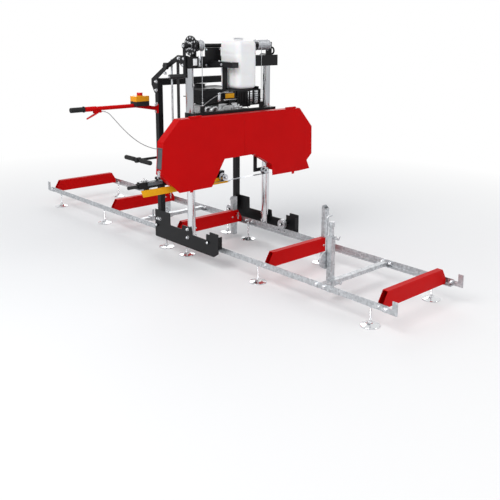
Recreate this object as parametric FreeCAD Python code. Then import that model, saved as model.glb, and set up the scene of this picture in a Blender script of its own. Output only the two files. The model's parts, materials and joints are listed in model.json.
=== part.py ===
import FreeCAD, Part
import math
import os

# Portable sawmill with a band saw head that rolls along an angle iron track.
# Lengths are in millimetres. X runs along the track, Y across it and Z is up.
# The operator walks on the low Y side, which is called near below, and the other side is far.
# Heights are counted from the ground, and X and Y from the middle of the track.

Vector = FreeCAD.Vector
overrun = 2.0
close_gap = 0.3
sliding_gap = 0.5
SIDES = (-1, 1)

# Track
rail_length = 1990.0
rail_joint_gap = 1.0
rail_leg = 40.0
rail_wall = 4.0
rail_fillet = 4.0
rail_bottom = 126.0
track_half_width = 330.0
rail_top = rail_bottom + rail_leg
rail_seat = rail_bottom + rail_wall
rail_inner_face = track_half_width - rail_wall

foot_setback = 24.0
foot_line = track_half_width - foot_setback
foot_rod_radius = 6.0
foot_rod_top = 150.0
foot_places = (-1858.0, -1088.0, -173.0, 86.0, 878.0, 1846.0)
foot_pad_radius = 60.0
foot_pad_rim = 4.0
foot_pad_neck_radius = 14.0
foot_pad_neck_height = 22.0

track_bolt_radius = 6.0
track_bolt_height = 147.0
track_bolt_pitch = 64.0
bolt_gap = 0.25
hole_pair_places = (-1506.0, 446.0)

bunk_places = (-1940.0, -945.0, -25.0, 971.0, 1920.0)
bunk_width = 40.0
bunk_height = 100.0
bunk_wall = 3.0
bunk_setback = 18.0
bunk_slope_run = 39.0
bunk_half_length = track_half_width - bunk_setback
bunk_top_half_length = bunk_half_length - bunk_slope_run
bunk_top = rail_seat + bunk_height

cross_places = (-522.0, 1466.0)
cross_width = 40.0
cross_height = 25.0
cross_wall = 2.5
cross_top = rail_seat + cross_height
cross_plate_thickness = 5.0
cross_plate_margin = 16.0

splice_thickness = 5.0
splice_half_length = 150.0
splice_bottom = 134.0
splice_top = 158.0

stop_thickness = 6.0
stop_reach = 63.0
stop_foot_length = 103.0
stop_tab_width = 35.0
stop_tab_top = 208.0

# Log stops
log_stop_bunks = (1, 2, 3)
log_stop_tops = (245.0, 340.0, 460.0)
log_stop_bottoms = (25.0, 30.0, 20.0)
log_stop_x = 30.0
log_stop_y = 45.0
log_stop_wall = 3.0
log_stop_line = 247.0
stop_screw_radius = 6.0
stop_screw_height = rail_seat + 62.0
stop_screw_boss_length = 12.0
stop_screw_length = 42.0
stop_screw_handle_radius = 4.0
stop_screw_handle_half = 27.0
slant_share = 0.8
stop_pin_radius = 4.0
stop_pin_from_end = 12.0
ring_pin_radius = 4.0
ring_radius = 9.0
ring_wire = 3.5

# Carriage wheels
wheel_groove_radius = 31.0
wheel_flange_radius = 37.0
wheel_height = rail_top + wheel_groove_radius
front_wheel_place = 452.0
rear_wheel_place = -165.0
wheel_inner_width = 15.0
wheel_outer_width = 11.0
wheel_inner_face = track_half_width - wheel_inner_width
wheel_outer_face = track_half_width + wheel_outer_width
wheel_groove_gap = 0.4
axle_radius = 10.0

# Carriage frame
side_plate_setout = 60.0
side_plate_face = track_half_width + side_plate_setout
side_plate_thickness = 5.0
side_plate_outer_face = side_plate_face + side_plate_thickness
rear_post_place = -137.0
rear_post_size = 40.0
rear_post_wall = 3.0
rear_post_bottom = 225.0
rear_post_top = 1300.0

lift_post_place = 222.0
lift_post_radius = 28.0
lift_post_line = side_plate_face - lift_post_radius
beam_half_depth = 30.0
beam_bottom = 1390.0
beam_top = 1470.0
beam_far_reach = 60.0
beam_near_end = -side_plate_face
beam_far_end = side_plate_face + beam_far_reach


def along(axis, first, second, third):
    """Point from its place along an axis and its two places across it."""
    if axis == "x":
        return Vector(first, second, third)
    if axis == "y":
        return Vector(second, first, third)
    return Vector(second, third, first)


def block(x_range, y_range, z_range):
    """Box between two places on each axis."""
    low = Vector(min(x_range), min(y_range), min(z_range))
    size = Vector(max(x_range), max(y_range), max(z_range)) - low
    return Part.makeBox(size.x, size.y, size.z, low)


def bar(radius, start, end):
    """Round bar between two points."""
    run = end - start
    return Part.makeCylinder(radius, run.Length, start, run)


def disc(axis, radius, start, end, second, third):
    """Round piece along an axis, from start to end, round a line across the other two."""
    return bar(radius, along(axis, start, second, third), along(axis, end, second, third))


def washer(axis, radius, bore, start, end, second, third):
    """Round piece with a bore through it."""
    low = min(start, end)
    high = max(start, end)
    solid = disc(axis, radius, low, high, second, third)
    return solid.cut(disc(axis, bore, low - overrun, high + overrun, second, third))


def hexagon(axis, across, start, end, second, third):
    """Hexagonal bar along an axis, given by its size across the corners."""
    points = []
    for corner in range(6):
        angle = math.radians(60 * corner)
        points.append((second + across / 2 * math.cos(angle), third + across / 2 * math.sin(angle)))
    return plate(axis, points, start, end)


def rounded_wire(axis, points, place, radius):
    """Closed outline across an axis, with every corner rounded by one radius or a list of radii."""
    corners = [along(axis, place, second, third) for second, third in points]
    count = len(corners)
    radii = radius if isinstance(radius, (list, tuple)) else [radius] * count
    joints = []
    for index in range(count):
        corner = corners[index]
        back = (corners[index - 1] - corner).normalize()
        ahead = (corners[(index + 1) % count] - corner).normalize()
        half_angle = back.getAngle(ahead) / 2
        if radii[index] <= 0:
            joints.append((corner, corner, corner))
            continue
        setback = radii[index] / math.tan(half_angle)
        middle = (back + ahead).normalize()
        top = corner + middle * (radii[index] / math.sin(half_angle) - radii[index])
        joints.append((corner + back * setback, top, corner + ahead * setback))
    edges = []
    for index in range(count):
        first, top, last = joints[index]
        following = joints[(index + 1) % count][0]
        if (last - first).Length > 0:
            edges.append(Part.Arc(first, top, last).toShape())
        if (following - last).Length > 0:
            edges.append(Part.makeLine(last, following))
    return Part.Wire(Part.__sortEdges__(edges))


def plate(axis, points, start, end, radius=0):
    """Flat piece with an outline across an axis, from start to end along it."""
    face = Part.Face(rounded_wire(axis, points, min(start, end), radius))
    return face.extrude(along(axis, abs(end - start), 0, 0))


def rectangle(second_range, third_range):
    """The four corners of a rectangle, in order."""
    low, high = min(second_range), max(second_range)
    bottom, top = min(third_range), max(third_range)
    return [(low, bottom), (high, bottom), (high, top), (low, top)]


def square_tube(axis, start, end, second_range, third_range, wall, radius=0):
    """Rectangular tube with open ends along an axis."""
    outside = plate(axis, rectangle(second_range, third_range), start, end, radius)
    inner_second = (min(second_range) + wall, max(second_range) - wall)
    inner_third = (min(third_range) + wall, max(third_range) - wall)
    low, high = min(start, end) - overrun, max(start, end) + overrun
    return outside.cut(plate(axis, rectangle(inner_second, inner_third), low, high))


def round_tube(axis, radius, wall, start, end, second, third):
    """Round tube with open ends along an axis."""
    return washer(axis, radius, radius - wall, start, end, second, third)


def bent_bar(points, bend_radius, radius, bore=0):
    """Round bar or tube along straight runs with a bend at each corner."""
    outside = bent_solid(points, bend_radius, radius)
    return outside.cut(bent_solid(points, bend_radius, bore)) if bore > 0 else outside


def bent_solid(points, bend_radius, radius):
    """Straight cylinders joined by quarter rings that are tangent to both."""
    corners = [Vector(*point) for point in points]
    radii = bend_radius if isinstance(bend_radius, (list, tuple)) else [bend_radius] * len(corners)
    pieces = []
    last = corners[0]
    for index in range(1, len(corners) - 1):
        corner = corners[index]
        back = (corners[index - 1] - corner).normalize()
        ahead = (corners[index + 1] - corner).normalize()
        half_angle = back.getAngle(ahead) / 2
        bend = radii[index]
        start = corner + back * (bend / math.tan(half_angle))
        centre = corner + (back + ahead).normalize() * (bend / math.sin(half_angle))
        turn = ahead.cross(back)
        circle = Part.Face(Part.Wire(Part.Circle(start, back, radius).toShape()))
        pieces.append(bar(radius, last, start))
        pieces.append(circle.revolve(centre, turn, 180 - math.degrees(2 * half_angle)))
        last = corner + ahead * (bend / math.tan(half_angle))
    pieces.append(bar(radius, last, corners[-1]))
    return joined(pieces) if len(pieces) > 1 else pieces[0]


def moved(shape, x=0, y=0, z=0):
    """Copy of a shape, shifted."""
    copy = shape.copy()
    copy.translate(Vector(x, y, z))
    return copy


def joined(pieces):
    """One solid from pieces of one welded part."""
    return pieces[0].fuse(list(pieces[1:])).removeSplitter()


def group(pieces):
    """Separate solids kept in one node."""
    return Part.makeCompound(pieces)


def rail(side):
    """Two lengths of angle on one side, with the holes for the feet and the track bolts."""
    lengths = []
    outer = side * track_half_width
    for end in (-1, 1):
        start = end * rail_joint_gap / 2
        finish = end * rail_length
        section = [
            (outer, rail_bottom), (outer, rail_top), (outer - side * rail_wall, rail_top),
            (outer - side * rail_wall, rail_seat), (outer - side * rail_leg, rail_seat),
            (outer - side * rail_leg, rail_bottom),
        ]
        radii = [0, 0, 0, rail_fillet, 0, 0]
        angle = plate("x", section, start, finish, radii)
        for place in foot_places:
            if start < end * place * end < finish or finish < place < start:
                hole = disc("z", foot_rod_radius + sliding_gap, rail_bottom - overrun,
                            rail_seat + overrun, place, side * foot_line)
                angle = angle.cut(hole)
        for place in track_hole_places():
            if min(start, finish) < place < max(start, finish):
                hole = disc("y", track_bolt_radius + bolt_gap, outer + side * overrun,
                            outer - side * (rail_wall + overrun), place, track_bolt_height)
                angle = angle.cut(hole)
        lengths.append(angle)
    return group(lengths)


def track_hole_places():
    """Places along the track of the bare holes in the upright leg of the angle."""
    return [middle + shift * track_bolt_pitch / 2 for middle in hole_pair_places for shift in (-1, 1)]


def bunk(index):
    """Log bunk: a tube across both rails, with sloped open ends and a socket for its log stop."""
    middle = bunk_places[index]
    half = bunk_width / 2
    slope_foot = rail_top
    outline = [
        (-bunk_half_length, rail_seat), (bunk_half_length, rail_seat), (bunk_half_length, slope_foot),
        (bunk_top_half_length, bunk_top), (-bunk_top_half_length, bunk_top),
        (-bunk_half_length, slope_foot),
    ]
    tube = plate("x", outline, middle - half, middle + half)
    tube = tube.cut(block((middle - half + bunk_wall, middle + half - bunk_wall),
                          (-bunk_half_length - overrun, bunk_half_length + overrun),
                          (rail_seat + bunk_wall, bunk_top - bunk_wall)))
    if index in log_stop_bunks:
        half_x = log_stop_x / 2 + sliding_gap
        half_y = log_stop_y / 2 + sliding_gap
        tube = tube.cut(block((middle - half_x, middle + half_x),
                              (log_stop_line - half_y, log_stop_line + half_y),
                              (rail_seat - overrun, bunk_top + overrun)))
        screw_hole = disc("x", stop_screw_radius + sliding_gap / 2, middle, middle + half + overrun,
                          log_stop_line, stop_screw_height)
        tube = tube.cut(screw_hole)
    return tube


def bunks():
    """The five log bunks, three of them with a nut for the screw that holds the log stop."""
    tubes = []
    for index, middle in enumerate(bunk_places):
        tube = bunk(index)
        if index in log_stop_bunks:
            wall_face = middle + bunk_width / 2
            boss = washer("x", stop_screw_radius * 2, stop_screw_radius + sliding_gap / 2,
                          wall_face, wall_face + stop_screw_boss_length, log_stop_line,
                          stop_screw_height)
            tube = joined([tube, boss])
        tubes.append(tube)
    return group(tubes)


def log_stop(number):
    """Upright square tube that slides through its bunk; the tallest has a curved slanted top."""
    middle = bunk_places[log_stop_bunks[number]]
    top = log_stop_tops[number]
    bottom = log_stop_bottoms[number]
    x_range = (middle - log_stop_x / 2, middle + log_stop_x / 2)
    y_range = (log_stop_line - log_stop_y / 2, log_stop_line + log_stop_y / 2)
    tube = square_tube("z", bottom, top, x_range, y_range, log_stop_wall)
    if number == 2:
        slant = log_stop_x * slant_share
        cutter = plate("y", [(x_range[0], top), (x_range[1] + overrun, top - slant),
                             (x_range[1] + overrun, top + overrun), (x_range[0], top + overrun)],
                       y_range[0] - overrun, y_range[1] + overrun)
        tube = tube.cut(cutter)
    pin_height = bottom + stop_pin_from_end
    pin_reach = log_stop_x / 2 + log_stop_wall
    pin = disc("x", stop_pin_radius, middle - pin_reach, middle + pin_reach, log_stop_line, pin_height)
    tube = joined([tube, pin])
    if number == 1:
        tube = joined([tube, ring_pin(middle, top - log_stop_x / 2)])
    return tube


def ring_pin(middle, height):
    """Pin with a pull ring through the top of the middle log stop."""
    near_end = log_stop_line - log_stop_y / 2 - ring_pin_radius
    far_end = log_stop_line + log_stop_y / 2 + ring_pin_radius
    shank = disc("y", ring_pin_radius, near_end, far_end, middle, height)
    centre = near_end - ring_radius + ring_wire
    ring = washer("x", ring_radius, ring_radius - ring_wire, middle - ring_wire / 2,
                  middle + ring_wire / 2, centre, height)
    return joined([shank, ring])


def stop_screw(number):
    """T handled screw that holds a log stop in its bunk."""
    middle = bunk_places[log_stop_bunks[number]]
    tip = middle + log_stop_x / 2 + close_gap
    head = tip + stop_screw_length
    shank = disc("x", stop_screw_radius, tip, head, log_stop_line, stop_screw_height)
    handle = disc("z", stop_screw_handle_radius, stop_screw_height - stop_screw_handle_half,
                  stop_screw_height + stop_screw_handle_half, head - stop_screw_radius, log_stop_line)
    return joined([shank, handle])


def cross_members():
    """Two low tubes across the rails that carry the log clamps, each with its two end plates."""
    pieces = []
    for middle in cross_places:
        half = cross_width / 2
        tube_end = rail_inner_face - cross_plate_thickness
        tube = square_tube("y", -tube_end, tube_end, (middle - half, middle + half),
                           (rail_seat, cross_top), cross_wall)
        welded = [tube]
        for side in SIDES:
            half_plate = track_bolt_pitch / 2 + cross_plate_margin
            end_plate = block((middle - half_plate, middle + half_plate),
                              (side * tube_end, side * rail_inner_face),
                              (splice_bottom, splice_top))
            welded.append(end_plate)
        pieces.append(joined(welded))
    return group(pieces)


def end_stops():
    """Four bent plates outside the rail ends that keep the carriage on the track."""
    stops = []
    for end in (-1, 1):
        for side in SIDES:
            tip = rail_length + stop_reach
            foot_start = tip - stop_foot_length
            outline = [
                (end * foot_start, rail_bottom), (end * tip, rail_bottom), (end * tip, stop_tab_top),
                (end * (tip - stop_tab_width), stop_tab_top),
                (end * (tip - stop_tab_width), splice_top), (end * foot_start, splice_top),
            ]
            face = side * track_half_width
            stops.append(plate("y", outline, face, face + side * stop_thickness))
    return group(stops)


def splice_plates():
    """Flat plates inside the rails that join their two lengths."""
    plates = []
    for side in SIDES:
        face = side * rail_inner_face
        plates.append(block((-splice_half_length, splice_half_length),
                            (face - side * splice_thickness, face), (splice_bottom, splice_top)))
    return group(plates)


def leveling_feet():
    """Threaded rods with round pads, one under each foot hole of the rails."""
    feet = []
    for side in SIDES:
        for place in foot_places:
            pad = disc("z", foot_pad_radius, 0, foot_pad_rim, place, side * foot_line)
            neck = disc("z", foot_pad_neck_radius, foot_pad_rim, foot_pad_neck_height, place,
                        side * foot_line)
            rod = disc("z", foot_rod_radius, foot_pad_neck_height, foot_rod_top, place,
                       side * foot_line)
            feet.append(joined([pad, neck, rod]))
    return group(feet)


# Log clamps
clamp_gap = 0.5
clamp_wall = 5.0
clamp_sleeve_length = 70.0
front_clamp_line = -210.0
front_clamp_tube_line = -190.0
front_clamp_tube_size = 36.0
front_clamp_tube_wall = 3.0
front_clamp_tube_bottom = 60.0
front_clamp_tube_top = 425.0
front_clamp_collar_height = 25.0
front_clamp_collar_wall = 4.0
front_clamp_post_radius = 14.5
front_clamp_post_bottom = 100.0
front_clamp_post_top = 500.0
front_clamp_knob_radius = 19.0
front_clamp_knob_height = 30.0
lever_pivot_height = 265.0
lever_pivot_radius = 7.0
lever_pivot_fit = 0.05
lever_disc_radius = 57.0
lever_disc_thickness = 12.0
lever_disc_offset = 15.0
lever_rod_radius = 6.0
lever_top = 545.0
lever_tip_reach = 45.0
lever_bend = 18.0
rear_clamp_line = -190.0
rear_clamp_pin_top = 215.0
rear_dog_line = -48.0
rear_dog_pin_top = 206.0
rear_clamp_pin_radius = 8.0
wing_screw_radius = 5.0
wing_screw_length = 38.0
wing_half_span = 17.0
wing_thickness = 5.0


def clamp_sleeve(middle, line, length):
    """Rectangular sleeve that slides on a cross member."""
    half = cross_width / 2 + clamp_gap + clamp_wall
    return square_tube("y", line - length / 2, line + length / 2, (middle - half, middle + half),
                       (rail_seat - clamp_gap - clamp_wall, cross_top + clamp_gap + clamp_wall),
                       clamp_wall)


def wing_screw(face, line, height):
    """Hand screw with two wings that locks a clamp sleeve, along X from the sleeve's face."""
    shank = disc("x", wing_screw_radius, face, face + wing_screw_length, line, height)
    wings = plate("x", [(line - wing_half_span, height + wing_half_span),
                        (line - wing_screw_radius, height - wing_screw_radius),
                        (line + wing_screw_radius, height - wing_screw_radius),
                        (line + wing_half_span, height + wing_half_span),
                        (line, height + wing_screw_radius)],
                  face + wing_screw_length - wing_thickness, face + wing_screw_length)
    return joined([shank, wings])


def clamp_slide_front():
    """Front clamp carriage: a sleeve on the cross member with an upright square tube and a pivot."""
    middle = cross_places[1]
    half = cross_width / 2 + clamp_gap + clamp_wall
    sleeve = clamp_sleeve(middle, front_clamp_line, clamp_sleeve_length)
    tube_middle = middle - half - front_clamp_tube_size / 2
    tube_half = front_clamp_tube_size / 2
    tube = square_tube("z", front_clamp_tube_bottom, front_clamp_tube_top,
                       (tube_middle - tube_half, tube_middle + tube_half),
                       (front_clamp_tube_line - tube_half, front_clamp_tube_line + tube_half),
                       front_clamp_tube_wall)
    collar_half = tube_half + front_clamp_collar_wall
    collar = square_tube("z", front_clamp_tube_top - front_clamp_collar_height, front_clamp_tube_top,
                         (tube_middle - collar_half, tube_middle + collar_half),
                         (front_clamp_tube_line - collar_half, front_clamp_tube_line + collar_half),
                         front_clamp_collar_wall)
    pivot = disc("x", lever_pivot_radius, tube_middle - tube_half,
                 tube_middle - collar_half - close_gap * 2 - lever_disc_thickness,
                 front_clamp_tube_line, lever_pivot_height)
    screw_height = front_clamp_tube_top - front_clamp_collar_height / 2
    screw = wing_screw(tube_middle + collar_half, front_clamp_tube_line, screw_height)
    body = joined([sleeve, tube, collar, pivot])
    lock = wing_screw(middle + half, front_clamp_line, (rail_seat + cross_top) / 2)
    return group([body, screw, lock])


def clamp_dog_front():
    """Round post with a knob that telescopes in the front clamp's tube and presses on the log."""
    middle = cross_places[1] - cross_width / 2 - clamp_gap - clamp_wall - front_clamp_tube_size / 2
    post = disc("z", front_clamp_post_radius, front_clamp_post_bottom, front_clamp_post_top,
                middle, front_clamp_tube_line)
    knob_bottom = front_clamp_post_top - front_clamp_knob_height / 2
    knob = disc("z", front_clamp_knob_radius, knob_bottom, knob_bottom + front_clamp_knob_height,
                middle, front_clamp_tube_line)
    return joined([post, knob])


def clamp_lever_front():
    """Eccentric disc with a bent rod as its handle, which turns on the front clamp's pivot."""
    tube_face = cross_places[1] - cross_width / 2 - clamp_gap - clamp_wall - front_clamp_tube_size
    face = tube_face - front_clamp_collar_wall - close_gap
    back = face - lever_disc_thickness
    disc_line = front_clamp_tube_line - lever_disc_offset
    cam = disc("x", lever_disc_radius, back, face, disc_line, lever_pivot_height)
    cam = cam.cut(disc("x", lever_pivot_radius + lever_pivot_fit, back - overrun, face + overrun,
                       front_clamp_tube_line, lever_pivot_height))
    rod_x = (face + back) / 2
    rod_start = lever_pivot_height + lever_disc_radius / 2
    rod = bent_bar([(rod_x, disc_line, rod_start), (rod_x, disc_line, lever_top),
                    (rod_x, disc_line + lever_tip_reach, lever_top)], lever_bend, lever_rod_radius)
    return joined([cam, rod])


def clamp_slide_rear():
    """Rear clamp sleeve with an upright pin, on its cross member."""
    middle = cross_places[0]
    sleeve = clamp_sleeve(middle, rear_clamp_line, clamp_sleeve_length)
    top = cross_top + clamp_gap + clamp_wall
    pin = disc("z", rear_clamp_pin_radius, top, rear_clamp_pin_top, middle, rear_clamp_line)
    half = cross_width / 2 + clamp_gap + clamp_wall
    lock = wing_screw(middle + half, rear_clamp_line, (rail_seat + cross_top) / 2)
    return group([joined([sleeve, pin]), lock])


def clamp_dog_rear():
    """Second rear sleeve with a short bent pin that the log is pressed against."""
    middle = cross_places[0]
    sleeve = clamp_sleeve(middle, rear_dog_line, clamp_sleeve_length)
    top = cross_top + clamp_gap + clamp_wall
    start = middle + rear_clamp_pin_radius
    pin = bent_bar([(start, rear_dog_line, top - clamp_wall / 2),
                    (start, rear_dog_line, rear_dog_pin_top),
                    (start, rear_dog_line - clamp_sleeve_length / 2, rear_dog_pin_top)],
                   lever_bend, rear_clamp_pin_radius)
    return joined([sleeve, pin])


# Side plates and wheels
side_plate_rear = -190.0
side_plate_length = 754.0
side_plate_bottom = 105.0
side_plate_height = 213.0
side_plate_shares = (
    (0.0, 0.0), (0.935, 0.0), (1.0, 0.15), (1.0, 0.812), (0.875, 0.812), (0.875, 0.709),
    (0.824, 0.709), (0.824, 0.502), (0.61, 0.502), (0.602, 0.737), (0.454, 0.737),
    (0.444, 0.577), (0.255, 0.577), (0.252, 1.0), (0.0, 1.0),
)
side_plate_corner = 6.0
side_plate_flange = 30.0
front_block_wall = 5.0
axle_nut_depth = 10.0
axle_inner_end = wheel_inner_face - axle_nut_depth
axle_nut_size = 26.0
axle_spacer_radius = 16.0
wheel_play = 0.3
wheel_fit = 0.05
post_bolt_head_height = 7.0


def side_plate(side):
    """Plate beside a rail that carries both posts and, on fixed axles, the two wheels."""
    outline = [(side_plate_rear + along_share * side_plate_length,
                side_plate_bottom + up_share * side_plate_height)
               for along_share, up_share in side_plate_shares]
    inner = side * side_plate_face
    outer = side * side_plate_outer_face
    pieces = [plate("y", outline, inner, outer, side_plate_corner)]
    front = side_plate_rear + side_plate_length
    pieces.append(block((front - front_block_wall, front),
                        (inner, side * (side_plate_face - side_plate_flange)),
                        (wheel_height - side_plate_flange, wheel_height + side_plate_flange * 2)))
    for place in (rear_wheel_place, front_wheel_place):
        wheel_end = wheel_outer_face + wheel_play
        nut_start = wheel_inner_face - wheel_play
        nut_end = axle_inner_end + wheel_play
        pieces.append(disc("y", axle_radius, side * axle_inner_end, inner, place, wheel_height))
        pieces.append(disc("y", axle_spacer_radius, side * wheel_end, inner, place, wheel_height))
        pieces.append(hexagon("y", axle_nut_size, side * nut_end, side * nut_start, place,
                              wheel_height))
        head_end = outer + side * post_bolt_head_height
        pieces.append(hexagon("y", axle_nut_size, outer, head_end, place, wheel_height))
    return joined(pieces)


def wheel(side, place):
    """Grooved wheel that rides on the upright edge of the angle, between two flanges."""
    low = rail_inner_face - wheel_groove_gap
    high = track_half_width + wheel_groove_gap
    groove = wheel_groove_radius - close_gap
    inner = disc("y", wheel_flange_radius, side * wheel_inner_face, side * low, place, wheel_height)
    middle = disc("y", groove, side * low, side * high, place, wheel_height)
    outer = disc("y", wheel_flange_radius, side * high, side * wheel_outer_face, place, wheel_height)
    solid = joined([inner, middle, outer])
    bore = disc("y", axle_radius + wheel_fit, side * (wheel_inner_face - overrun),
                side * (wheel_outer_face + overrun), place, wheel_height)
    return solid.cut(bore)


def wheels(place):
    """A wheel on each rail, in line across the track."""
    return group([wheel(side, place) for side in SIDES])


# Carriage frame
cross_beam_bottom = 1250.0
gusset_bottom = 1196.0
gusset_back = 57.0
gusset_thickness = 5.0
diagonal_depth = 38.0
diagonal_knee = 131.0
diagonal_knee_top = 1409.0
diagonal_rear_top = 1295.0
diagonal_front = 132.0
diagonal_front_top = 1477.0
end_gusset_corner = 182.0
end_gusset_bottom = 1400.0
beam_wall = 4.0
lift_post_wall = 4.0
lift_post_bottom = 160.0


def rear_frame():
    """Two square posts and their cross beam, with the bent plates that hold the top beam."""
    half = rear_post_size / 2
    rear = rear_post_place - half
    front = rear_post_place + half
    inner = side_plate_face - rear_post_size
    pieces = [square_tube("y", -inner, inner, (rear, front), (cross_beam_bottom, rear_post_top),
                          rear_post_wall)]
    gusset_rear = rear_post_place - gusset_back
    knee = rear_post_place + diagonal_knee
    bent_plate = [
        (gusset_rear, gusset_bottom + gusset_back), (rear, gusset_bottom), (front, gusset_bottom),
        (front, rear_post_top), (knee, diagonal_knee_top - diagonal_depth),
        (diagonal_front, diagonal_front_top - diagonal_depth), (diagonal_front, diagonal_front_top),
        (knee, diagonal_knee_top), (gusset_rear, diagonal_rear_top),
    ]
    for side in SIDES:
        pieces.append(square_tube("z", rear_post_bottom, rear_post_top, (rear, front),
                                  (side * inner, side * side_plate_face), rear_post_wall))
        face = side * side_plate_face
        pieces.append(plate("y", bent_plate, face, face + side * gusset_thickness))
        end = lift_post_place - side * beam_half_depth
        end_plate = [
            (diagonal_front, diagonal_front_top - diagonal_depth),
            (end_gusset_corner, end_gusset_bottom), (end, end_gusset_bottom),
            (end, diagonal_front_top), (diagonal_front, diagonal_front_top),
        ]
        pieces.append(plate("y", end_plate, face, face + side * gusset_thickness))
    return group(pieces)


def lift_posts():
    """Two round tubes that the saw head slides on."""
    return group([round_tube("z", lift_post_radius, lift_post_wall, lift_post_bottom, beam_bottom,
                             lift_post_place, side * lift_post_line) for side in SIDES])


def top_beam():
    """Square tube across the tops of the round posts, which carries the winch."""
    return square_tube("y", beam_near_end, beam_far_end,
                       (lift_post_place - beam_half_depth, lift_post_place + beam_half_depth),
                       (beam_bottom, beam_top), beam_wall)


# Winch
winch_height = 1543.0
winch_shaft_radius = 14.0
winch_setout = 8.0
winch_near_end = beam_near_end - winch_setout
winch_far_end = 392.0
drum_radius = 32.5
drum_flange_radius = 40.0
drum_flange_thickness = 4.0
drum_ranges = ((-300.0, -256.0), (249.0, 372.0))
rope_line = 278.0
rope_radius = 2.5
rope_lug_height = 1125.0
index_wheel_radius = 68.0
index_wheel_start = -352.0
index_wheel_thickness = 8.0
index_hole_count = 12
index_hole_line = 56.0
index_hole_radius = 6.0
bearing_places = (-330.0, 216.0, 380.0)
bearing_thickness = 8.0
bearing_half_width = 30.0
wide_bearing_half_width = 62.0
bearing_top_margin = 22.0
bearing_fit = 0.05
crank_thickness = 8.0
crank_width = 26.0
crank_length = 205.0
crank_near_face = winch_near_end - crank_thickness
crank_hub_radius = 20.0
crank_grip_radius = 17.0
crank_grip_length = 124.0
crank_grip_end = crank_near_face - crank_grip_length
crank_stud_radius = 6.0
index_pin_radius = 5.0
index_pin_travel = 12.0
index_knob_radius = 11.0
index_knob_length = 16.0
cover_near = -250.0
cover_far = -110.0
cover_foot = 7.0
cover_rise = 60.0
cover_thickness = 3.0
cover_corner = 12.0
eye_place = 410.0
eye_radius = 30.0
eye_wall = 10.0


def winch_shaft():
    """Tube with two rope drums and the index wheel, whose holes take the index pin."""
    pieces = [disc("y", winch_shaft_radius, winch_near_end, winch_far_end, lift_post_place,
                   winch_height)]
    for start, end in drum_ranges:
        pieces.append(disc("y", drum_radius, start, end, lift_post_place, winch_height))
        for face in (start, end - drum_flange_thickness):
            pieces.append(disc("y", drum_flange_radius, face, face + drum_flange_thickness,
                               lift_post_place, winch_height))
    wheel_end = index_wheel_start + index_wheel_thickness
    index_wheel = disc("y", index_wheel_radius, index_wheel_start, wheel_end, lift_post_place,
                       winch_height)
    for number in range(index_hole_count):
        angle = 2 * math.pi * number / index_hole_count
        index_wheel = index_wheel.cut(
            disc("y", index_hole_radius, index_wheel_start - overrun, wheel_end + overrun,
                 lift_post_place + index_hole_line * math.cos(angle),
                 winch_height + index_hole_line * math.sin(angle)))
    return joined(pieces + [index_wheel])


def winch_cover():
    """Bearing plates on the top beam, the cover plate in front of it and the lifting eye."""
    pieces = []
    for number, place in enumerate(bearing_places):
        top = winch_height + bearing_top_margin
        reach = wide_bearing_half_width if number == 0 else bearing_half_width
        foot = min(reach, beam_half_depth)
        outline = [
            (lift_post_place - foot, beam_top), (lift_post_place + foot, beam_top),
            (lift_post_place + foot, winch_height - bearing_top_margin),
            (lift_post_place + bearing_half_width, top), (lift_post_place - reach, top),
            (lift_post_place - reach, winch_height - bearing_top_margin),
        ]
        bearing = plate("y", outline, place, place + bearing_thickness)
        bearing = bearing.cut(disc("y", winch_shaft_radius + bearing_fit, place - overrun,
                                   place + bearing_thickness + overrun, lift_post_place,
                                   winch_height))
        if number == 0:
            bearing = bearing.cut(disc("y", index_pin_radius + bearing_fit, place - overrun,
                                       place + bearing_thickness + overrun,
                                       lift_post_place - index_hole_line, winch_height))
        pieces.append(bearing)
    cover_top = beam_top + cover_rise
    face = lift_post_place + beam_half_depth
    cover = [(cover_near, beam_bottom + cover_foot), (cover_far, beam_bottom + cover_foot),
             (cover_far, cover_top), (cover_near, cover_top)]
    pieces.append(plate("x", cover, face, face + cover_thickness, cover_corner))
    eye = washer("y", eye_radius, eye_radius - eye_wall, eye_place, eye_place + bearing_thickness,
                 lift_post_place, beam_top + eye_radius)
    pieces.append(eye)
    return group(pieces)


def crank_arm():
    """Flat crank with a stud for its grip, on the near end of the winch shaft."""
    far_face = crank_near_face + crank_thickness
    half = crank_width / 2
    end = winch_height - crank_length
    arm = plate("y", [(lift_post_place - half, end - half), (lift_post_place + half, end - half),
                      (lift_post_place + half, winch_height + half),
                      (lift_post_place - half, winch_height + half)],
                crank_near_face, far_face, half - overrun)
    hub = disc("y", crank_hub_radius, crank_near_face - crank_thickness / 2, far_face,
               lift_post_place, winch_height)
    stud = disc("y", crank_stud_radius, crank_grip_end + crank_stud_radius, crank_near_face,
                lift_post_place, end)
    return joined([arm, hub, stud])


def crank_grip():
    """Round grip that turns on the crank's stud."""
    end = winch_height - crank_length
    start = crank_near_face - close_gap
    grip = disc("y", crank_grip_radius, crank_grip_end, start, lift_post_place, end)
    bore = disc("y", crank_stud_radius + bearing_fit, crank_grip_end + crank_stud_radius - overrun,
                start + overrun, lift_post_place, end)
    return grip.cut(bore)


def index_pin():
    """Spring pin with a knob, parked out of the index wheel."""
    wheel_end = index_wheel_start + index_wheel_thickness
    tip = wheel_end + sliding_gap
    knob_start = bearing_places[0] + bearing_thickness + index_pin_travel + overrun
    place = lift_post_place - index_hole_line
    shank = disc("y", index_pin_radius, tip, knob_start, place, winch_height)
    knob = disc("y", index_knob_radius, knob_start, knob_start + index_knob_length, place,
                winch_height)
    return joined([shank, knob])


def lift_ropes():
    """Two wire ropes that hang from the drums to the lugs of the saw head."""
    place = lift_post_place + drum_radius + rope_radius
    return group([disc("z", rope_radius, rope_lug_height, winch_height, place, side * rope_line)
                  for side in SIDES])


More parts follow.
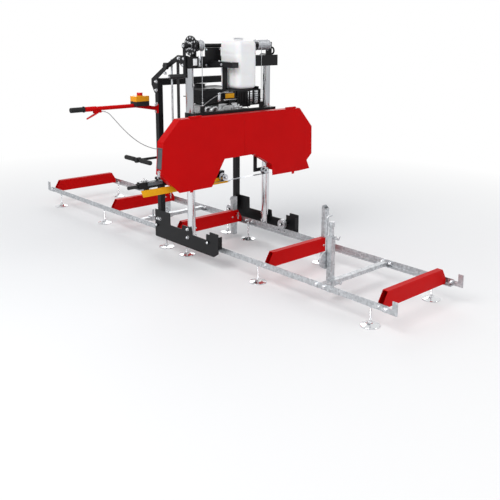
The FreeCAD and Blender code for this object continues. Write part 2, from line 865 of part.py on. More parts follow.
# Push handle, throttle and stop box
handle_place = -134.0
handle_root_setout = 3.0
handle_root = (-side_plate_face - handle_root_setout, 1083.0)
handle_knee = (-575.0, 1116.0)
handle_end = (-978.0, 1116.0)
handle_bend = 90.0
handle_radius = 14.0
handle_wall = 2.5
handle_base_half_width = 18.0
handle_base_bottom = 1050.0
handle_base_top = 1118.0
handle_base_thickness = 6.0
grip_radius = 17.5
grip_end = -1078.0
lever_bracket_start = -890.0
lever_bracket_end = -972.0
lever_bracket_wall = 3.0
throttle_pivot = (-881.0, 1093.0)
throttle_knee = (-897.0, 1081.0)
throttle_tip = (-959.0, 1051.0)
throttle_half_width = 7.0
throttle_depth = 8.0
throttle_pin_radius = 3.0
throttle_cheek = 3.0
stop_box_near = -595.0
stop_box_far = -479.0
stop_box_bottom = 1112.0
stop_box_split = 1146.0
stop_box_top = 1183.0
stop_box_half_width = 38.0
stop_box_corner = 8.0
stop_button_radius = 20.0
stop_button_top = 1206.0
stop_button_stem_radius = 9.0
stop_button_travel = 5.0
stop_button_line = -537.0


cable_stop_length = 15.0

# Throttle cable, from the stop under the push handle to the bracket on the engine
cable_radius = 3.0
cable_run_share = 0.45
throttle_cable_points = (
    (-134, -850, 1094), (-134, -806, 1094), (-132, -752, 1034), (-129, -694, 968),
    (-126, -630, 904), (-121, -560, 848), (-110, -484, 807), (-84, -408, 785), (-34, -344, 797),
    (22, -296, 838), (72, -266, 900), (112, -252, 972), (148, -246, 1048), (184, -226, 1114),
    (197, -164, 1158), (197, -88, 1190), (183, -22, 1210), (183, 20, 1210),
)


def handle_route():
    """Centre line of the push handle, from the post outward."""
    return [(handle_place,) + place for place in (handle_root, handle_knee, handle_end)]


def push_handle():
    """Bent tube that the operator pushes, with its foot plate and the throttle lever's bracket."""
    tube = bent_bar(handle_route(), handle_bend, handle_radius, handle_radius - handle_wall)
    base_face = -side_plate_face
    base = block((handle_place - handle_base_half_width, handle_place + handle_base_half_width),
                 (base_face, base_face - handle_base_thickness),
                 (handle_base_bottom, handle_base_top))
    outside = handle_radius + lever_bracket_wall
    clamp = disc("y", outside, lever_bracket_start, lever_bracket_end, handle_place, handle_end[1])
    cheek_outer = throttle_half_width + close_gap + throttle_cheek
    cheeks = []
    for way in (-1, 1):
        near_face = handle_place + way * (throttle_half_width + close_gap)
        cheeks.append(block((near_face, handle_place + way * cheek_outer),
                            (lever_bracket_start + throttle_depth * 2, lever_bracket_start - outside),
                            (throttle_pivot[1] - throttle_depth, handle_end[1])))
    pin = disc("x", throttle_pin_radius, handle_place - cheek_outer, handle_place + cheek_outer,
               throttle_pivot[0], throttle_pivot[1])
    tube_space = bent_solid(handle_route(), handle_bend, handle_radius + bearing_fit)
    holder = joined([clamp] + cheeks + [pin]).cut(tube_space)
    cable_start = throttle_cable_points[0]
    cable_stop = block((handle_place - throttle_half_width, handle_place + throttle_half_width),
                       (cable_start[1] - cable_stop_length, cable_start[1]),
                       (cable_start[2] - throttle_half_width, handle_end[1]))
    return group([joined([tube, base]), holder, cable_stop.cut(tube_space)])


def handle_grip():
    """Rubber grip on the end of the push handle."""
    return disc("y", grip_radius, handle_end[0], grip_end, handle_place, handle_end[1])


def throttle_lever():
    """Cranked lever that hangs under the push handle on its pin."""
    down = throttle_depth
    outline = [
        (throttle_pivot[0] + down, throttle_pivot[1] + down / 2),
        (throttle_pivot[0] + down, throttle_pivot[1] - down),
        (throttle_knee[0], throttle_knee[1] - down),
        (throttle_tip[0], throttle_tip[1] - down / 2), (throttle_tip[0], throttle_tip[1] + down / 2),
        (throttle_knee[0], throttle_knee[1] + down / 2),
        (throttle_pivot[0] - down, throttle_pivot[1] + down / 2),
    ]
    lever = plate("x", outline, handle_place - throttle_half_width,
                  handle_place + throttle_half_width)
    return lever.cut(disc("x", throttle_pin_radius + bearing_fit, handle_place - handle_radius,
                          handle_place + handle_radius, throttle_pivot[0], throttle_pivot[1]))


def stop_box():
    """Switch box in two halves that sits on the push handle, hollow under its button."""
    x_range = (handle_place - stop_box_half_width, handle_place + stop_box_half_width)
    y_range = (stop_box_near, stop_box_far)
    tube_space = bent_solid(handle_route(), handle_bend, handle_radius + bearing_fit)
    lower = plate("z", rectangle(x_range, y_range), stop_box_bottom, stop_box_split,
                  stop_box_corner).cut(tube_space)
    upper = plate("z", rectangle(x_range, y_range), stop_box_split, stop_box_top, stop_box_corner)
    well = disc("z", stop_button_stem_radius + bearing_fit, stop_box_split, stop_box_top + overrun,
                handle_place, stop_button_line)
    return group([lower, upper.cut(well)])


def stop_button():
    """Mushroom button on its stem."""
    cap_bottom = stop_box_top + stop_button_travel + close_gap
    stem = disc("z", stop_button_stem_radius, stop_box_split + stop_button_travel + overrun,
                cap_bottom, handle_place, stop_button_line)
    cap = disc("z", stop_button_radius, cap_bottom, stop_button_top, handle_place, stop_button_line)
    return joined([stem, cap])


# Depth rod and scale strip
depth_rod_place = 37.0
depth_rod_radius = 7.0
depth_rod_top = 1445.0
depth_rod_bottom = 1000.0
depth_tube_place = 114.0
depth_tube_radius = 8.0
depth_tube_top = 1446.0
depth_strip_gap = 12.0
depth_strip_width = 14.0
depth_clamp_height = 1404.0
depth_knob_radius = 13.0
depth_knob_length = 40.0
depth_clamp_bottom = 1393.0
depth_clamp_top = 1424.0


def depth_gauge():
    """Rod, tube and flat strip that hang from the slanted plate beside the lift post."""
    inner = -side_plate_face
    rod_line = inner + depth_knob_radius
    rod = disc("z", depth_rod_radius, depth_rod_bottom, depth_rod_top, depth_rod_place, rod_line)
    tube_line = inner + depth_tube_radius
    tube = disc("z", depth_tube_radius, depth_rod_bottom, depth_tube_top, depth_tube_place,
                tube_line)
    strip_start = depth_tube_place + depth_strip_gap
    strip = block((strip_start, strip_start + depth_strip_width),
                  (inner, inner + gusset_thickness), (depth_rod_bottom, depth_tube_top))
    knob = disc("x", depth_knob_radius, depth_rod_place - depth_rod_radius - depth_knob_length,
                depth_rod_place - depth_rod_radius, rod_line, depth_clamp_height)
    clamp = block((depth_rod_place - depth_knob_radius, depth_rod_place + depth_knob_radius),
                  (inner, rod_line), (depth_clamp_bottom, depth_clamp_top))
    return group([joined([rod, knob, clamp]), tube, strip])


# Water tank
tank_rear = 285.0
tank_front = 490.0
tank_near = -150.0
tank_far = 30.0
tank_bottom = 1250.0
tank_top = 1585.0
tank_corner = 38.0
tank_shoulder = 22.0
tank_neck_radius = 26.0
tank_neck_height = 12.0
cap_radius = 32.0
cap_height = 22.0
cap_fit = 0.5
tray_thickness = 5.0
tray_margin = 6.0
tray_lip = 18.0
arm_near = -215.0
arm_far = -155.0
arm_bottom = 1402.0
arm_top = 1438.0
arm_front = 500.0
hanger_rear = 380.0
hanger_front = 402.0
hanger_half_depth = 14.0


def water_tank():
    """Rounded plastic tank, closed and full, with a neck for its cap."""
    x_range = (tank_rear, tank_front)
    y_range = (tank_near, tank_far)
    body = plate("z", rectangle(x_range, y_range), tank_bottom, tank_top, tank_corner)
    rims = [edge for edge in body.Edges
            if abs(edge.BoundBox.ZMin - edge.BoundBox.ZMax) < overrun]
    body = body.makeChamfer(tank_shoulder, rims)
    neck = disc("z", tank_neck_radius, tank_top - overrun, tank_top + tank_neck_height,
                (tank_rear + tank_front) / 2, (tank_near + tank_far) / 2)
    return joined([body, neck])


def water_cap():
    """Screw cap over the tank's neck."""
    x = (tank_rear + tank_front) / 2
    y = (tank_near + tank_far) / 2
    bottom = tank_top + close_gap * 2
    cap = disc("z", cap_radius, bottom, tank_top + cap_height, x, y)
    inside = tank_top + tank_neck_height + cap_fit
    return cap.cut(disc("z", tank_neck_radius + cap_fit, bottom - overrun, inside, x, y))


def tank_tray():
    """Arm from the top beam, hanger and tray that carry the water tank."""
    beam_front = lift_post_place + beam_half_depth + cover_thickness
    arm = square_tube("x", beam_front, arm_front, (arm_near, arm_far), (arm_bottom, arm_top),
                      lift_post_wall)
    tray_top = tank_bottom
    hanger_line = (arm_near + arm_far) / 2
    hanger = block((hanger_rear, hanger_front),
                   (hanger_line - hanger_half_depth, hanger_line + hanger_half_depth),
                   (tray_top - tray_thickness, arm_bottom))
    tray = block((tank_rear - tray_margin, tank_front + tray_margin),
                 (hanger_line - hanger_half_depth, tank_far + tray_margin),
                 (tray_top - tray_thickness, tray_top))
    lip = block((tank_rear - tray_margin, tank_front + tray_margin),
                (tank_far + tray_margin - tray_thickness, tank_far + tray_margin),
                (tray_top, tray_top + tray_lip))
    return joined([arm, hanger, tray, lip])


# Saw head frame
sleeve_wall = 7.5
sleeve_radius = lift_post_radius + sliding_gap + sleeve_wall
sleeve_ranges = ((700.0, 790.0), (1000.0, 1085.0))
strap_thickness = 8.0
strap_rear = 254.0
strap_half_width = 24.0
main_tube_rear = 262.0
main_tube_size = 50.0
main_tube_wall = 4.0
main_tube_near_end = -415.0
main_tube_far_end = 560.0
wheel_axis_height = 815.0
wheel_axis_line = 457.0
upper_tube_size = 40.0
upper_tube_overhang = 24.0
upper_tube_half_length = lift_post_line + upper_tube_overhang
engine_plate_thickness = 8.0
engine_plate_rear = -100.0
engine_plate_near = -210.0
engine_plate_far = 318.0
guard_rear = 334.0
guard_front = 400.0
guard_sheet = 2.5
spacer_places = (-150.0, 150.0)
upper_spacer_places = (-320.0, 320.0)
spacer_half_width = 20.0
bearing_radius = 34.0
bearing_housing_rear = lift_post_place + sleeve_radius
guide_sleeve_near = -480.0
guide_sleeve_far = -390.0
guide_wall = 4.0
arm_rear_face = 290.0
arm_size = 36.0
arm_underside = 624.0
yoke_near_end = -600.0
yoke_thickness = 6.0
far_guide_line = 225.0
near_guide_line = -175.0
guide_bar_near = 158.0
guide_bar_width = 26.0
wheel_shaft_radius = 15.0
tension_rod_radius = 9.0
guide_axle_radius = 7.0
rope_lug_half_width = 16.0


def head_frame():
    """Welded saw head frame: sleeves, cross tubes, engine plate, rope lugs and the far guide's arm."""
    main_bottom = wheel_axis_height - main_tube_size / 2
    main_top = wheel_axis_height + main_tube_size / 2
    main_front = main_tube_rear + main_tube_size
    upper_top = sleeve_ranges[1][1]
    pieces = [
        square_tube("y", main_tube_near_end, main_tube_far_end, (main_tube_rear, main_front),
                    (main_bottom, main_top), main_tube_wall),
        block((main_tube_rear, main_tube_rear + upper_tube_size),
              (-upper_tube_half_length, upper_tube_half_length),
              (upper_top - upper_tube_size, upper_top)),
        block((engine_plate_rear, main_front), (engine_plate_near, engine_plate_far),
              (main_top, main_top + engine_plate_thickness)),
    ]
    for side in SIDES:
        line = side * lift_post_line
        for bottom, top in sleeve_ranges:
            pieces.append(disc("z", sleeve_radius, bottom, top, lift_post_place, line))
        pieces.append(block((strap_rear, strap_rear + strap_thickness),
                            (line - strap_half_width, line + strap_half_width),
                            (sleeve_ranges[0][0], upper_top)))
        lug_line = side * rope_line
        pieces.append(block((main_tube_rear - strap_thickness * 1.5, main_tube_rear),
                            (lug_line - rope_lug_half_width, lug_line + rope_lug_half_width),
                            (upper_top - upper_tube_size, rope_lug_height)))
    for place in spacer_places:
        pieces.append(block((main_front, guard_rear),
                            (place - spacer_half_width, place + spacer_half_width),
                            (wheel_axis_height - spacer_half_width, wheel_axis_height)))
    for place in upper_spacer_places:
        pieces.append(block((main_tube_rear + upper_tube_size, guard_rear),
                            (place - spacer_half_width, place + spacer_half_width),
                            (upper_top - upper_tube_size, upper_top - upper_tube_size / 2)))
    pieces.append(disc("x", bearing_radius, bearing_housing_rear, main_front, wheel_axis_line,
                       wheel_axis_height))
    sleeve_outer = arm_size / 2 + sliding_gap + guide_wall
    arm_middle = arm_rear_face + arm_size / 2
    arm_height = arm_underside + arm_size / 2
    pieces.append(block((arm_middle - sleeve_outer, arm_middle + sleeve_outer),
                        (guide_sleeve_near, guide_sleeve_far),
                        (arm_height - sleeve_outer, arm_height + sleeve_outer)))
    pieces.append(block((arm_middle - sleeve_outer, main_front),
                        (guide_sleeve_near, main_tube_near_end + main_tube_size),
                        (arm_height + sleeve_outer - guide_wall, main_bottom)))
    pieces.append(guide_hanger(guide_bar_near, far_guide_line, main_bottom))
    x_range = (main_tube_rear, main_front)
    for low in (main_bottom - yoke_thickness, main_top):
        pieces.append(block(x_range, (yoke_near_end, main_tube_near_end + yoke_thickness),
                            (low, low + yoke_thickness)))
    pieces.append(block(x_range, (yoke_near_end, yoke_near_end + yoke_thickness * 2),
                        (main_bottom - yoke_thickness, main_top + yoke_thickness)))
    frame = joined(pieces)
    frame = frame.cut(disc("y", tension_rod_radius + bearing_fit, yoke_near_end - overrun,
                           yoke_near_end + yoke_thickness * 2 + overrun,
                           main_tube_rear + main_tube_size / 2, wheel_axis_height))
    for side in SIDES:
        frame = frame.cut(disc("z", lift_post_radius + sliding_gap, sleeve_ranges[0][0] - overrun,
                               upper_top + overrun, lift_post_place, side * lift_post_line))
    inner = arm_size / 2 + sliding_gap
    frame = frame.cut(block((arm_middle - inner, arm_middle + inner),
                            (guide_sleeve_near - overrun, guide_sleeve_far + overrun),
                            (arm_height - inner, arm_height + inner)))
    return frame.cut(disc("x", wheel_shaft_radius + bearing_fit, bearing_housing_rear - overrun,
                          main_front + overrun, wheel_axis_line, wheel_axis_height))


def guide_hanger(bar_near, roller_line, top):
    """Upright bar with a foot that carries a blade guide's axle."""
    front = arm_rear_face + arm_size - guide_axle_radius
    rear = front - guide_bar_width / 2
    half = guide_bar_width / 2
    upright = block((rear, front), (bar_near, bar_near + guide_bar_width),
                    (guide_axis_height - half, top))
    foot_end = roller_line + half
    foot = block((rear, front), (bar_near, foot_end),
                 (guide_axis_height - half, guide_axis_height + half))
    axle = disc("x", guide_axle_radius, front, guide_roller_front + guide_axle_radius,
                roller_line, guide_axis_height)
    return joined([upright, foot, axle])


# Band wheels and band
band_wheel_radius = 218.0
band_wheel_rear = 351.0
band_wheel_width = 30.0
band_rim = 16.0
band_web = 8.0
band_hub_radius = 34.0
band_hub_length = 50.0
band_hole_count = 5
band_hole_radius = 36.0
band_hole_line = 120.0
wheel_shaft_nose = 3.0
wheel_shaft_end = band_wheel_rear + (band_wheel_width + band_hub_length) / 2 + wheel_shaft_nose
band_thickness = 1.1
band_rear = 350.0
band_width = 32.0
band_gap = 0.3
blade_height = wheel_axis_height - band_wheel_radius - band_gap
guide_roller_radius = 24.0
guide_flange_radius = 30.0
guide_flange_thickness = 5.5
guide_flange_face = band_rear - sliding_gap
blade_overhang = 2.0
guide_roller_front = band_rear + band_width - blade_overhang
guide_axis_height = blade_height + band_gap + guide_roller_radius


def band_wheel(line):
    """Turned band wheel with a rim, a web with round windows and a hub."""
    front = band_wheel_rear + band_wheel_width
    middle = (band_wheel_rear + front) / 2
    rim = washer("x", band_wheel_radius, band_wheel_radius - band_rim, band_wheel_rear, front, line,
                 wheel_axis_height)
    web = disc("x", band_wheel_radius - band_rim / 2, middle - band_web / 2, middle + band_web / 2,
               line, wheel_axis_height)
    for number in range(band_hole_count):
        angle = 2 * math.pi * (number + 0.25) / band_hole_count
        web = web.cut(disc("x", band_hole_radius, middle - band_web, middle + band_web,
                           line + band_hole_line * math.cos(angle),
                           wheel_axis_height + band_hole_line * math.sin(angle)))
    hub = disc("x", band_hub_radius, middle - band_hub_length / 2, middle + band_hub_length / 2,
               line, wheel_axis_height)
    return joined([rim, web, hub])


def band_wheel_near():
    """Idle wheel, which turns on the shaft of the tension slide."""
    front = band_wheel_rear + band_wheel_width
    return band_wheel(-wheel_axis_line).cut(
        disc("x", wheel_shaft_radius + bearing_fit, band_wheel_rear - band_hub_length,
             front + band_hub_length, -wheel_axis_line, wheel_axis_height))


driven_pulley_radius = 100.0
belt_rear = 316.0
belt_width = 14.0
belt_thickness = 8.0
pulley_cheek = 2.0
drive_pulley_radius = 42.0
drive_line = 60.0
drive_height = 985.0
drive_shaft_radius = 12.5


def pulley(radius, line, height):
    """Belt pulley: a core between two thin cheeks."""
    core = disc("x", radius, belt_rear - pulley_cheek, belt_rear + belt_width + pulley_cheek, line,
                height)
    groove = washer("x", radius + belt_thickness, radius - close_gap, belt_rear - close_gap,
                    belt_rear + belt_width + close_gap, line, height)
    cheeks = [disc("x", radius + belt_thickness, face, face + pulley_cheek - close_gap, line, height)
              for face in (belt_rear - pulley_cheek, belt_rear + belt_width + close_gap)]
    return joined([core] + cheeks).cut(groove)


def band_wheel_far():
    """Driven wheel with its shaft and belt pulley."""
    shaft = disc("x", wheel_shaft_radius, bearing_housing_rear, wheel_shaft_end, wheel_axis_line,
                 wheel_axis_height)
    pulley_disc = disc("x", driven_pulley_radius - close_gap, belt_rear - pulley_cheek,
                       belt_rear + belt_width + pulley_cheek, wheel_axis_line, wheel_axis_height)
    return joined([band_wheel(wheel_axis_line), shaft, pulley_disc])


def drive_pulley():
    """Clutch pulley that turns on the engine's shaft."""
    solid = pulley(drive_pulley_radius, drive_line, drive_height)
    return solid.cut(disc("x", drive_shaft_radius + bearing_fit, belt_rear - belt_width,
                          belt_rear + belt_width * 2, drive_line, drive_height))


def belt_outline(first, first_radius, second, second_radius):
    """Closed line round two circles, from their centres across X, along the outer tangents."""
    run = Vector(0, second[0] - first[0], second[1] - first[1])
    lean = math.asin((first_radius - second_radius) / run.Length)
    heading = math.atan2(run.z, run.y)
    edges = []
    ends = []
    for way in (1, -1):
        angle = heading + way * (math.pi / 2 - lean)
        spoke = Vector(0, math.cos(angle), math.sin(angle))
        ends.append([Vector(0, first[0], first[1]) + spoke * first_radius,
                     Vector(0, second[0], second[1]) + spoke * second_radius])
    back = run.normalize()
    edges.append(Part.makeLine(ends[0][0], ends[0][1]))
    edges.append(Part.Arc(ends[0][1], Vector(0, second[0], second[1]) + back * second_radius,
                          ends[1][1]).toShape())
    edges.append(Part.makeLine(ends[1][1], ends[1][0]))
    edges.append(Part.Arc(ends[1][0], Vector(0, first[0], first[1]) - back * first_radius,
                          ends[0][0]).toShape())
    return Part.Face(Part.Wire(edges))


def loop(first, first_radius, second, second_radius, thickness, rear, width):
    """Endless belt or band of an even thickness round two wheels."""
    outside = belt_outline(first, first_radius + thickness, second, second_radius + thickness)
    inside = belt_outline(first, first_radius, second, second_radius)
    return moved(outside.cut(inside).extrude(Vector(width, 0, 0)), x=rear)


def saw_band():
    """Thin steel band round both wheels, with its teeth toward high X."""
    return loop((-wheel_axis_line, wheel_axis_height), band_wheel_radius + band_gap,
                (wheel_axis_line, wheel_axis_height), band_wheel_radius + band_gap,
                band_thickness, band_rear, band_width)


def drive_belt():
    """Belt from the clutch pulley to the driven wheel's pulley."""
    return loop((drive_line, drive_height), drive_pulley_radius,
                (wheel_axis_line, wheel_axis_height), driven_pulley_radius,
                belt_thickness - close_gap, belt_rear, belt_width)


# Band tension
slide_clearance = 1.0
slide_near_end = -520.0
slide_far_end = -260.0
tension_hub_line = -838.0
tension_rod_end = -480.0
tension_bar_half = 145.0
tension_bar_radius = 8.0
tension_grip_radius = 15.0
tension_grip_length = 112.0
wheel_collar_radius = 21.0


def tension_slide():
    """Square bar that slides in the cross tube and carries the idle wheel's shaft."""
    half = main_tube_size / 2 - main_tube_wall - slide_clearance
    middle = main_tube_rear + main_tube_size / 2
    slider = block((middle - half, middle + half), (slide_near_end, slide_far_end),
                   (wheel_axis_height - half, wheel_axis_height + half))
    shaft = disc("x", wheel_shaft_radius, middle, wheel_shaft_end, -wheel_axis_line,
                 wheel_axis_height)
    collar_end = band_wheel_rear + band_wheel_width / 2 - band_hub_length / 2 - close_gap
    collar = disc("x", wheel_collar_radius, middle + half, collar_end, -wheel_axis_line,
                  wheel_axis_height)
    bore = disc("y", tension_rod_radius + bearing_fit, slide_near_end - overrun,
                tension_rod_end + tension_rod_radius, middle, wheel_axis_height)
    return joined([slider, shaft, collar]).cut(bore)


def tension_handle():
    """Tension screw with a T bar and two grips, which pushes the slide."""
    middle = main_tube_rear + main_tube_size / 2
    rod = disc("y", tension_rod_radius, tension_hub_line, tension_rod_end, middle,
               wheel_axis_height)
    hub = disc("y", tension_rod_radius * 2, tension_hub_line - tension_bar_radius * 2,
               tension_hub_line + tension_bar_radius * 2, middle, wheel_axis_height)
    line = tension_hub_line
    cross_bar = disc("x", tension_bar_radius, middle - tension_bar_half, middle + tension_bar_half,
                     line, wheel_axis_height)
    grips = [disc("x", tension_grip_radius, middle + way * tension_bar_half,
                  middle + way * (tension_bar_half - tension_grip_length), line, wheel_axis_height)
             for way in (-1, 1)]
    return joined([rod, hub, cross_bar] + grips)


# Blade guides
arm_near_end = -862.0
arm_far_end = -140.0
strip_rear = 338.0
strip_thickness = 5.0
strip_bottom = 572.0
strip_top = 618.0
strip_near_bottom = -839.0
strip_near_top = -857.0
strip_far_top = -201.0
strip_far_shoulder = -127.0
strip_far_tip = -93.0
strip_far_heel = -118.0
strip_tip_rise = 11.0
strip_shoulder_drop = 16.0
strip_lug_places = (-800.0, -220.0)
strip_lug_width = 30.0
strip_lug_thickness = 8.0
arm_clamp_near = -850.0
arm_clamp_far = -780.0
arm_clamp_thickness = 7.0
arm_handle_radius = 9.0
arm_handle_end = -935.0


def guide_arm():
    """Square arm of the near blade guide, with its warning strip, clamp and guide axle."""
    x_range = (arm_rear_face, arm_rear_face + arm_size)
    top = arm_underside + arm_size
    middle_x = sum(x_range) / 2
    pieces = [block(x_range, (arm_near_end, arm_far_end), (arm_underside, top))]
    for place in strip_lug_places:
        pieces.append(block((middle_x, strip_rear),
                            (place - strip_lug_width / 2, place + strip_lug_width / 2),
                            (arm_underside - strip_lug_thickness * 2, arm_underside
                             - strip_lug_thickness)))
        pieces.append(block((middle_x, x_range[1]),
                            (place - strip_lug_width / 2, place + strip_lug_width / 2),
                            (arm_underside - strip_lug_thickness, arm_underside)))
    pieces.append(guide_hanger(near_guide_line - guide_bar_width * 1.4, near_guide_line, top))
    pieces.append(block((arm_rear_face - arm_clamp_thickness, arm_rear_face + arm_size),
                        (arm_clamp_near, arm_clamp_far), (top, top + arm_clamp_thickness)))
    handle = disc("y", arm_handle_radius, arm_near_end, arm_handle_end, middle_x,
                  (arm_underside + top) / 2)
    outline = [
        (strip_near_bottom, strip_bottom), (strip_far_heel, strip_bottom),
        (strip_far_tip, strip_bottom + strip_tip_rise),
        (strip_far_shoulder, strip_top - strip_shoulder_drop), (strip_far_top, strip_top),
        (strip_near_top, strip_top),
    ]
    strip = plate("x", outline, strip_rear, strip_rear + strip_thickness)
    return group([joined(pieces + [handle]), strip])


def guide_roller(line):
    """Flanged roller over the blade, with the flange behind the blade's back edge."""
    body = disc("x", guide_roller_radius, guide_flange_face, guide_roller_front, line,
                guide_axis_height)
    flange = disc("x", guide_flange_radius, guide_flange_face - guide_flange_thickness,
                  guide_flange_face, line, guide_axis_height)
    bore = disc("x", guide_axle_radius + bearing_fit, guide_flange_face - band_width,
                guide_roller_front + band_width, line, guide_axis_height)
    return joined([body, flange]).cut(bore)


# Guard
guard_near_edge = -733.0
guard_length = 1426.0
guard_bottom = 565.0
guard_height = 506.0
seam_share = 0.507
seam_gap = 1.0
near_outline_shares = (
    (0.109, 1.0), (0.013, 0.723), (0.0, 0.294), (0.0996, 0.018), (0.295, 0.02), (0.334, 0.196),
    (0.376, 0.389), (0.507, 0.392),
)
far_outline_shares = (
    (0.507, 0.392), (0.574, 0.395), (0.698, 0.2), (0.703, 0.032), (0.904, 0.028), (0.985, 0.038),
    (0.962, 0.176), (1.0, 0.271), (0.996, 0.7), (0.9, 1.0),
)
rim_low_edge = 624.0
back_low_edge = 634.0
guard_opening_half = 26.0
hinge_place = 398.0
hinge_rise = 8.0
hinge_radius = 7.0
hinge_pin_radius = 3.5
hinge_near_ends = ((-503.0, -470.0), (-434.0, -401.0))
hinge_gap = 0.5
hinge_leaf = 3.0
hinge_leaf_depth = 20.0
latch_near = -476.0
latch_width = 26.0
latch_depth = 9.0


def guard_points(shares):
    """Corner places of the guard's outline, across and up."""
    return [(guard_near_edge + across * guard_length, guard_bottom + up * guard_height)
            for across, up in shares]


def guard_sheet_face(points, start, end, inset):
    """Solid of the guard's outline between two places along X, shrunk evenly by an inset."""
    wire = rounded_wire("x", points, start, 0)
    if inset > 0:
        wire = wire.makeOffset2D(-inset)
    return Part.Face(wire).extrude(Vector(end - start, 0, 0))


def guard_back():
    """Back sheet and rim of the guard, with the middle hinge knuckles and both hinge pins."""
    points = guard_points(near_outline_shares[:-1] + far_outline_shares[1:])
    rim_end = guard_front - guard_sheet - sliding_gap
    shell = guard_sheet_face(points, guard_rear, rim_end, 0)
    shell = shell.cut(guard_sheet_face(points, guard_rear + guard_sheet, rim_end + overrun,
                                       guard_sheet))
    far_edge = guard_near_edge + guard_length
    low = guard_bottom - overrun
    shell = shell.cut(block((guard_rear - overrun, guard_front),
                            (guard_near_edge - overrun, far_edge + overrun), (low, rim_low_edge)))
    shell = shell.cut(block((guard_rear - overrun, guard_rear + guard_sheet + overrun),
                            (guard_near_edge - overrun, far_edge + overrun), (low, back_low_edge)))
    slot = block((guard_rear - overrun, guard_rear + guard_sheet + overrun),
                 (-wheel_axis_line - guard_opening_half, -wheel_axis_line + guard_opening_half * 1.6),
                 (wheel_axis_height - guard_opening_half, wheel_axis_height + guard_opening_half))
    shell = shell.cut(slot)
    shell = shell.cut(disc("x", guard_opening_half, guard_rear - overrun,
                           guard_rear + guard_sheet + overrun, wheel_axis_line, wheel_axis_height))
    top = guard_bottom + guard_height
    height = top + hinge_rise
    knuckles = []
    pins = []
    for mirror in (1, -1):
        (start, inner_start), (inner_end, end) = hinge_near_ends
        low_end = inner_start + hinge_gap
        high_end = inner_end - hinge_gap
        knuckles.append(disc("y", hinge_radius, mirror * low_end, mirror * high_end, hinge_place,
                             height))
        knuckles.append(block((guard_front - hinge_leaf_depth, rim_end),
                              (mirror * low_end, mirror * high_end), (top - overrun, height)))
        pins.append(disc("y", hinge_pin_radius, mirror * start, mirror * end, hinge_place, height))
    return joined([shell] + knuckles + pins)


def guard_door(side):
    """Front sheet of one half of the guard, with two hinge knuckles and a latch tab below."""
    half_seam = seam_gap / 2
    if side < 0:
        points = guard_points(near_outline_shares + ((seam_share, 1.0),))
        points[-1] = (points[-1][0] - half_seam, points[-1][1])
        points[-2] = (points[-2][0] - half_seam, points[-2][1])
    else:
        points = guard_points(((seam_share, 1.0),) + far_outline_shares)
        points[0] = (points[0][0] + half_seam, points[0][1])
        points[1] = (points[1][0] + half_seam, points[1][1])
    sheet = guard_sheet_face(points, guard_front - guard_sheet, guard_front, 0)
    top = guard_bottom + guard_height
    height = top + hinge_rise
    pieces = [sheet]
    bores = []
    for start, end in hinge_near_ends:
        ends = (-side * start, -side * end)
        pieces.append(disc("y", hinge_radius, ends[0], ends[1], hinge_place, height))
        pieces.append(block((guard_front - guard_sheet, guard_front - guard_sheet + hinge_leaf),
                            ends, (top - hinge_leaf, height)))
        bores.append(disc("y", hinge_pin_radius + bearing_fit, min(ends) - hinge_gap,
                          max(ends) + hinge_gap, hinge_place, height))
    tab_start = -side * latch_near
    pieces.append(block((guard_front - guard_sheet, guard_front),
                        (tab_start, tab_start - side * -latch_width),
                        (guard_bottom - overrun, guard_bottom + latch_depth * 2)))
    door = joined(pieces)
    for bore in bores:
        door = door.cut(bore)
    return door


# Engine
crankcase_rear = -50.0
crankcase_front = 165.0
crankcase_near = -60.0
crankcase_far = 180.0
crankcase_top = 1075.0
crankcase_corner = 18.0
engine_shaft_end = 334.0
cylinder_far = 265.0
cylinder_bottom = 930.0
cylinder_top = 1065.0
fin_count = 7
fin_thickness = 4.0
fin_pitch = 11.0
fin_margin = 12.0
valve_cover_thickness = 24.0
fan_radius = 128.0
fan_rear = -98.0
tank_x_rear = -75.0
tank_x_front = 178.0
tank_y_near = -190.0
tank_y_far = 112.0
fuel_tank_bottom = 1120.0
fuel_tank_top = 1235.0
fuel_tank_corner = 30.0
fuel_tank_edge = 14.0
fuel_cap_x = 20.0
fuel_cap_y = -120.0
fuel_cap_radius = 40.0
fuel_cap_height = 24.0
fuel_neck_radius = 26.0
fuel_neck_height = 8.0
bracket_thickness = 6.0
bracket_range = (20.0, 44.0)
air_box_near = -175.0
air_box_far = -60.0
air_box_bottom = 965.0
air_box_top = 1112.0
air_box_rear = -20.0
air_box_front = 130.0
muffler_rear = -30.0
muffler_front = 160.0
muffler_near = 122.0
muffler_far = 262.0
muffler_bottom = 1082.0
muffler_top = 1218.0
muffler_wall = 2.0
muffler_slot_count = 5
muffler_slot_width = 12.0
muffler_core_gap = 14.0
exhaust_radius = 13.0


def engine_block():
    """Crankcase on the engine plate, its shaft, and the finned cylinder with the valve cover."""
    bottom = wheel_axis_height + main_tube_size / 2 + engine_plate_thickness
    case = plate("x", rectangle((crankcase_near, crankcase_far), (bottom, crankcase_top)),
                 crankcase_rear, crankcase_front, crankcase_corner)
    shaft = disc("x", drive_shaft_radius, crankcase_front, engine_shaft_end - overrun, drive_line,
                 drive_height)
    boss = disc("x", drive_shaft_radius * 3, crankcase_front, crankcase_front + crankcase_corner,
                drive_line, drive_height)
    barrel = block((crankcase_rear + fin_margin, crankcase_front - fin_margin),
                   (crankcase_far - crankcase_corner, cylinder_far),
                   (cylinder_bottom + fin_margin, cylinder_top - fin_margin))
    cover = plate("y", rectangle((crankcase_rear + fin_margin, crankcase_front - fin_margin),
                                 (cylinder_bottom + fin_margin, cylinder_top - fin_margin)),
                  cylinder_far, cylinder_far + valve_cover_thickness, fin_margin)
    fins = []
    for number in range(fin_count):
        start = crankcase_far + fin_pitch * (number + 0.5)
        fins.append(block((crankcase_rear, crankcase_front), (start, start + fin_thickness),
                          (cylinder_bottom, cylinder_top)))
    return joined([case, shaft, boss, barrel, cover] + fins)


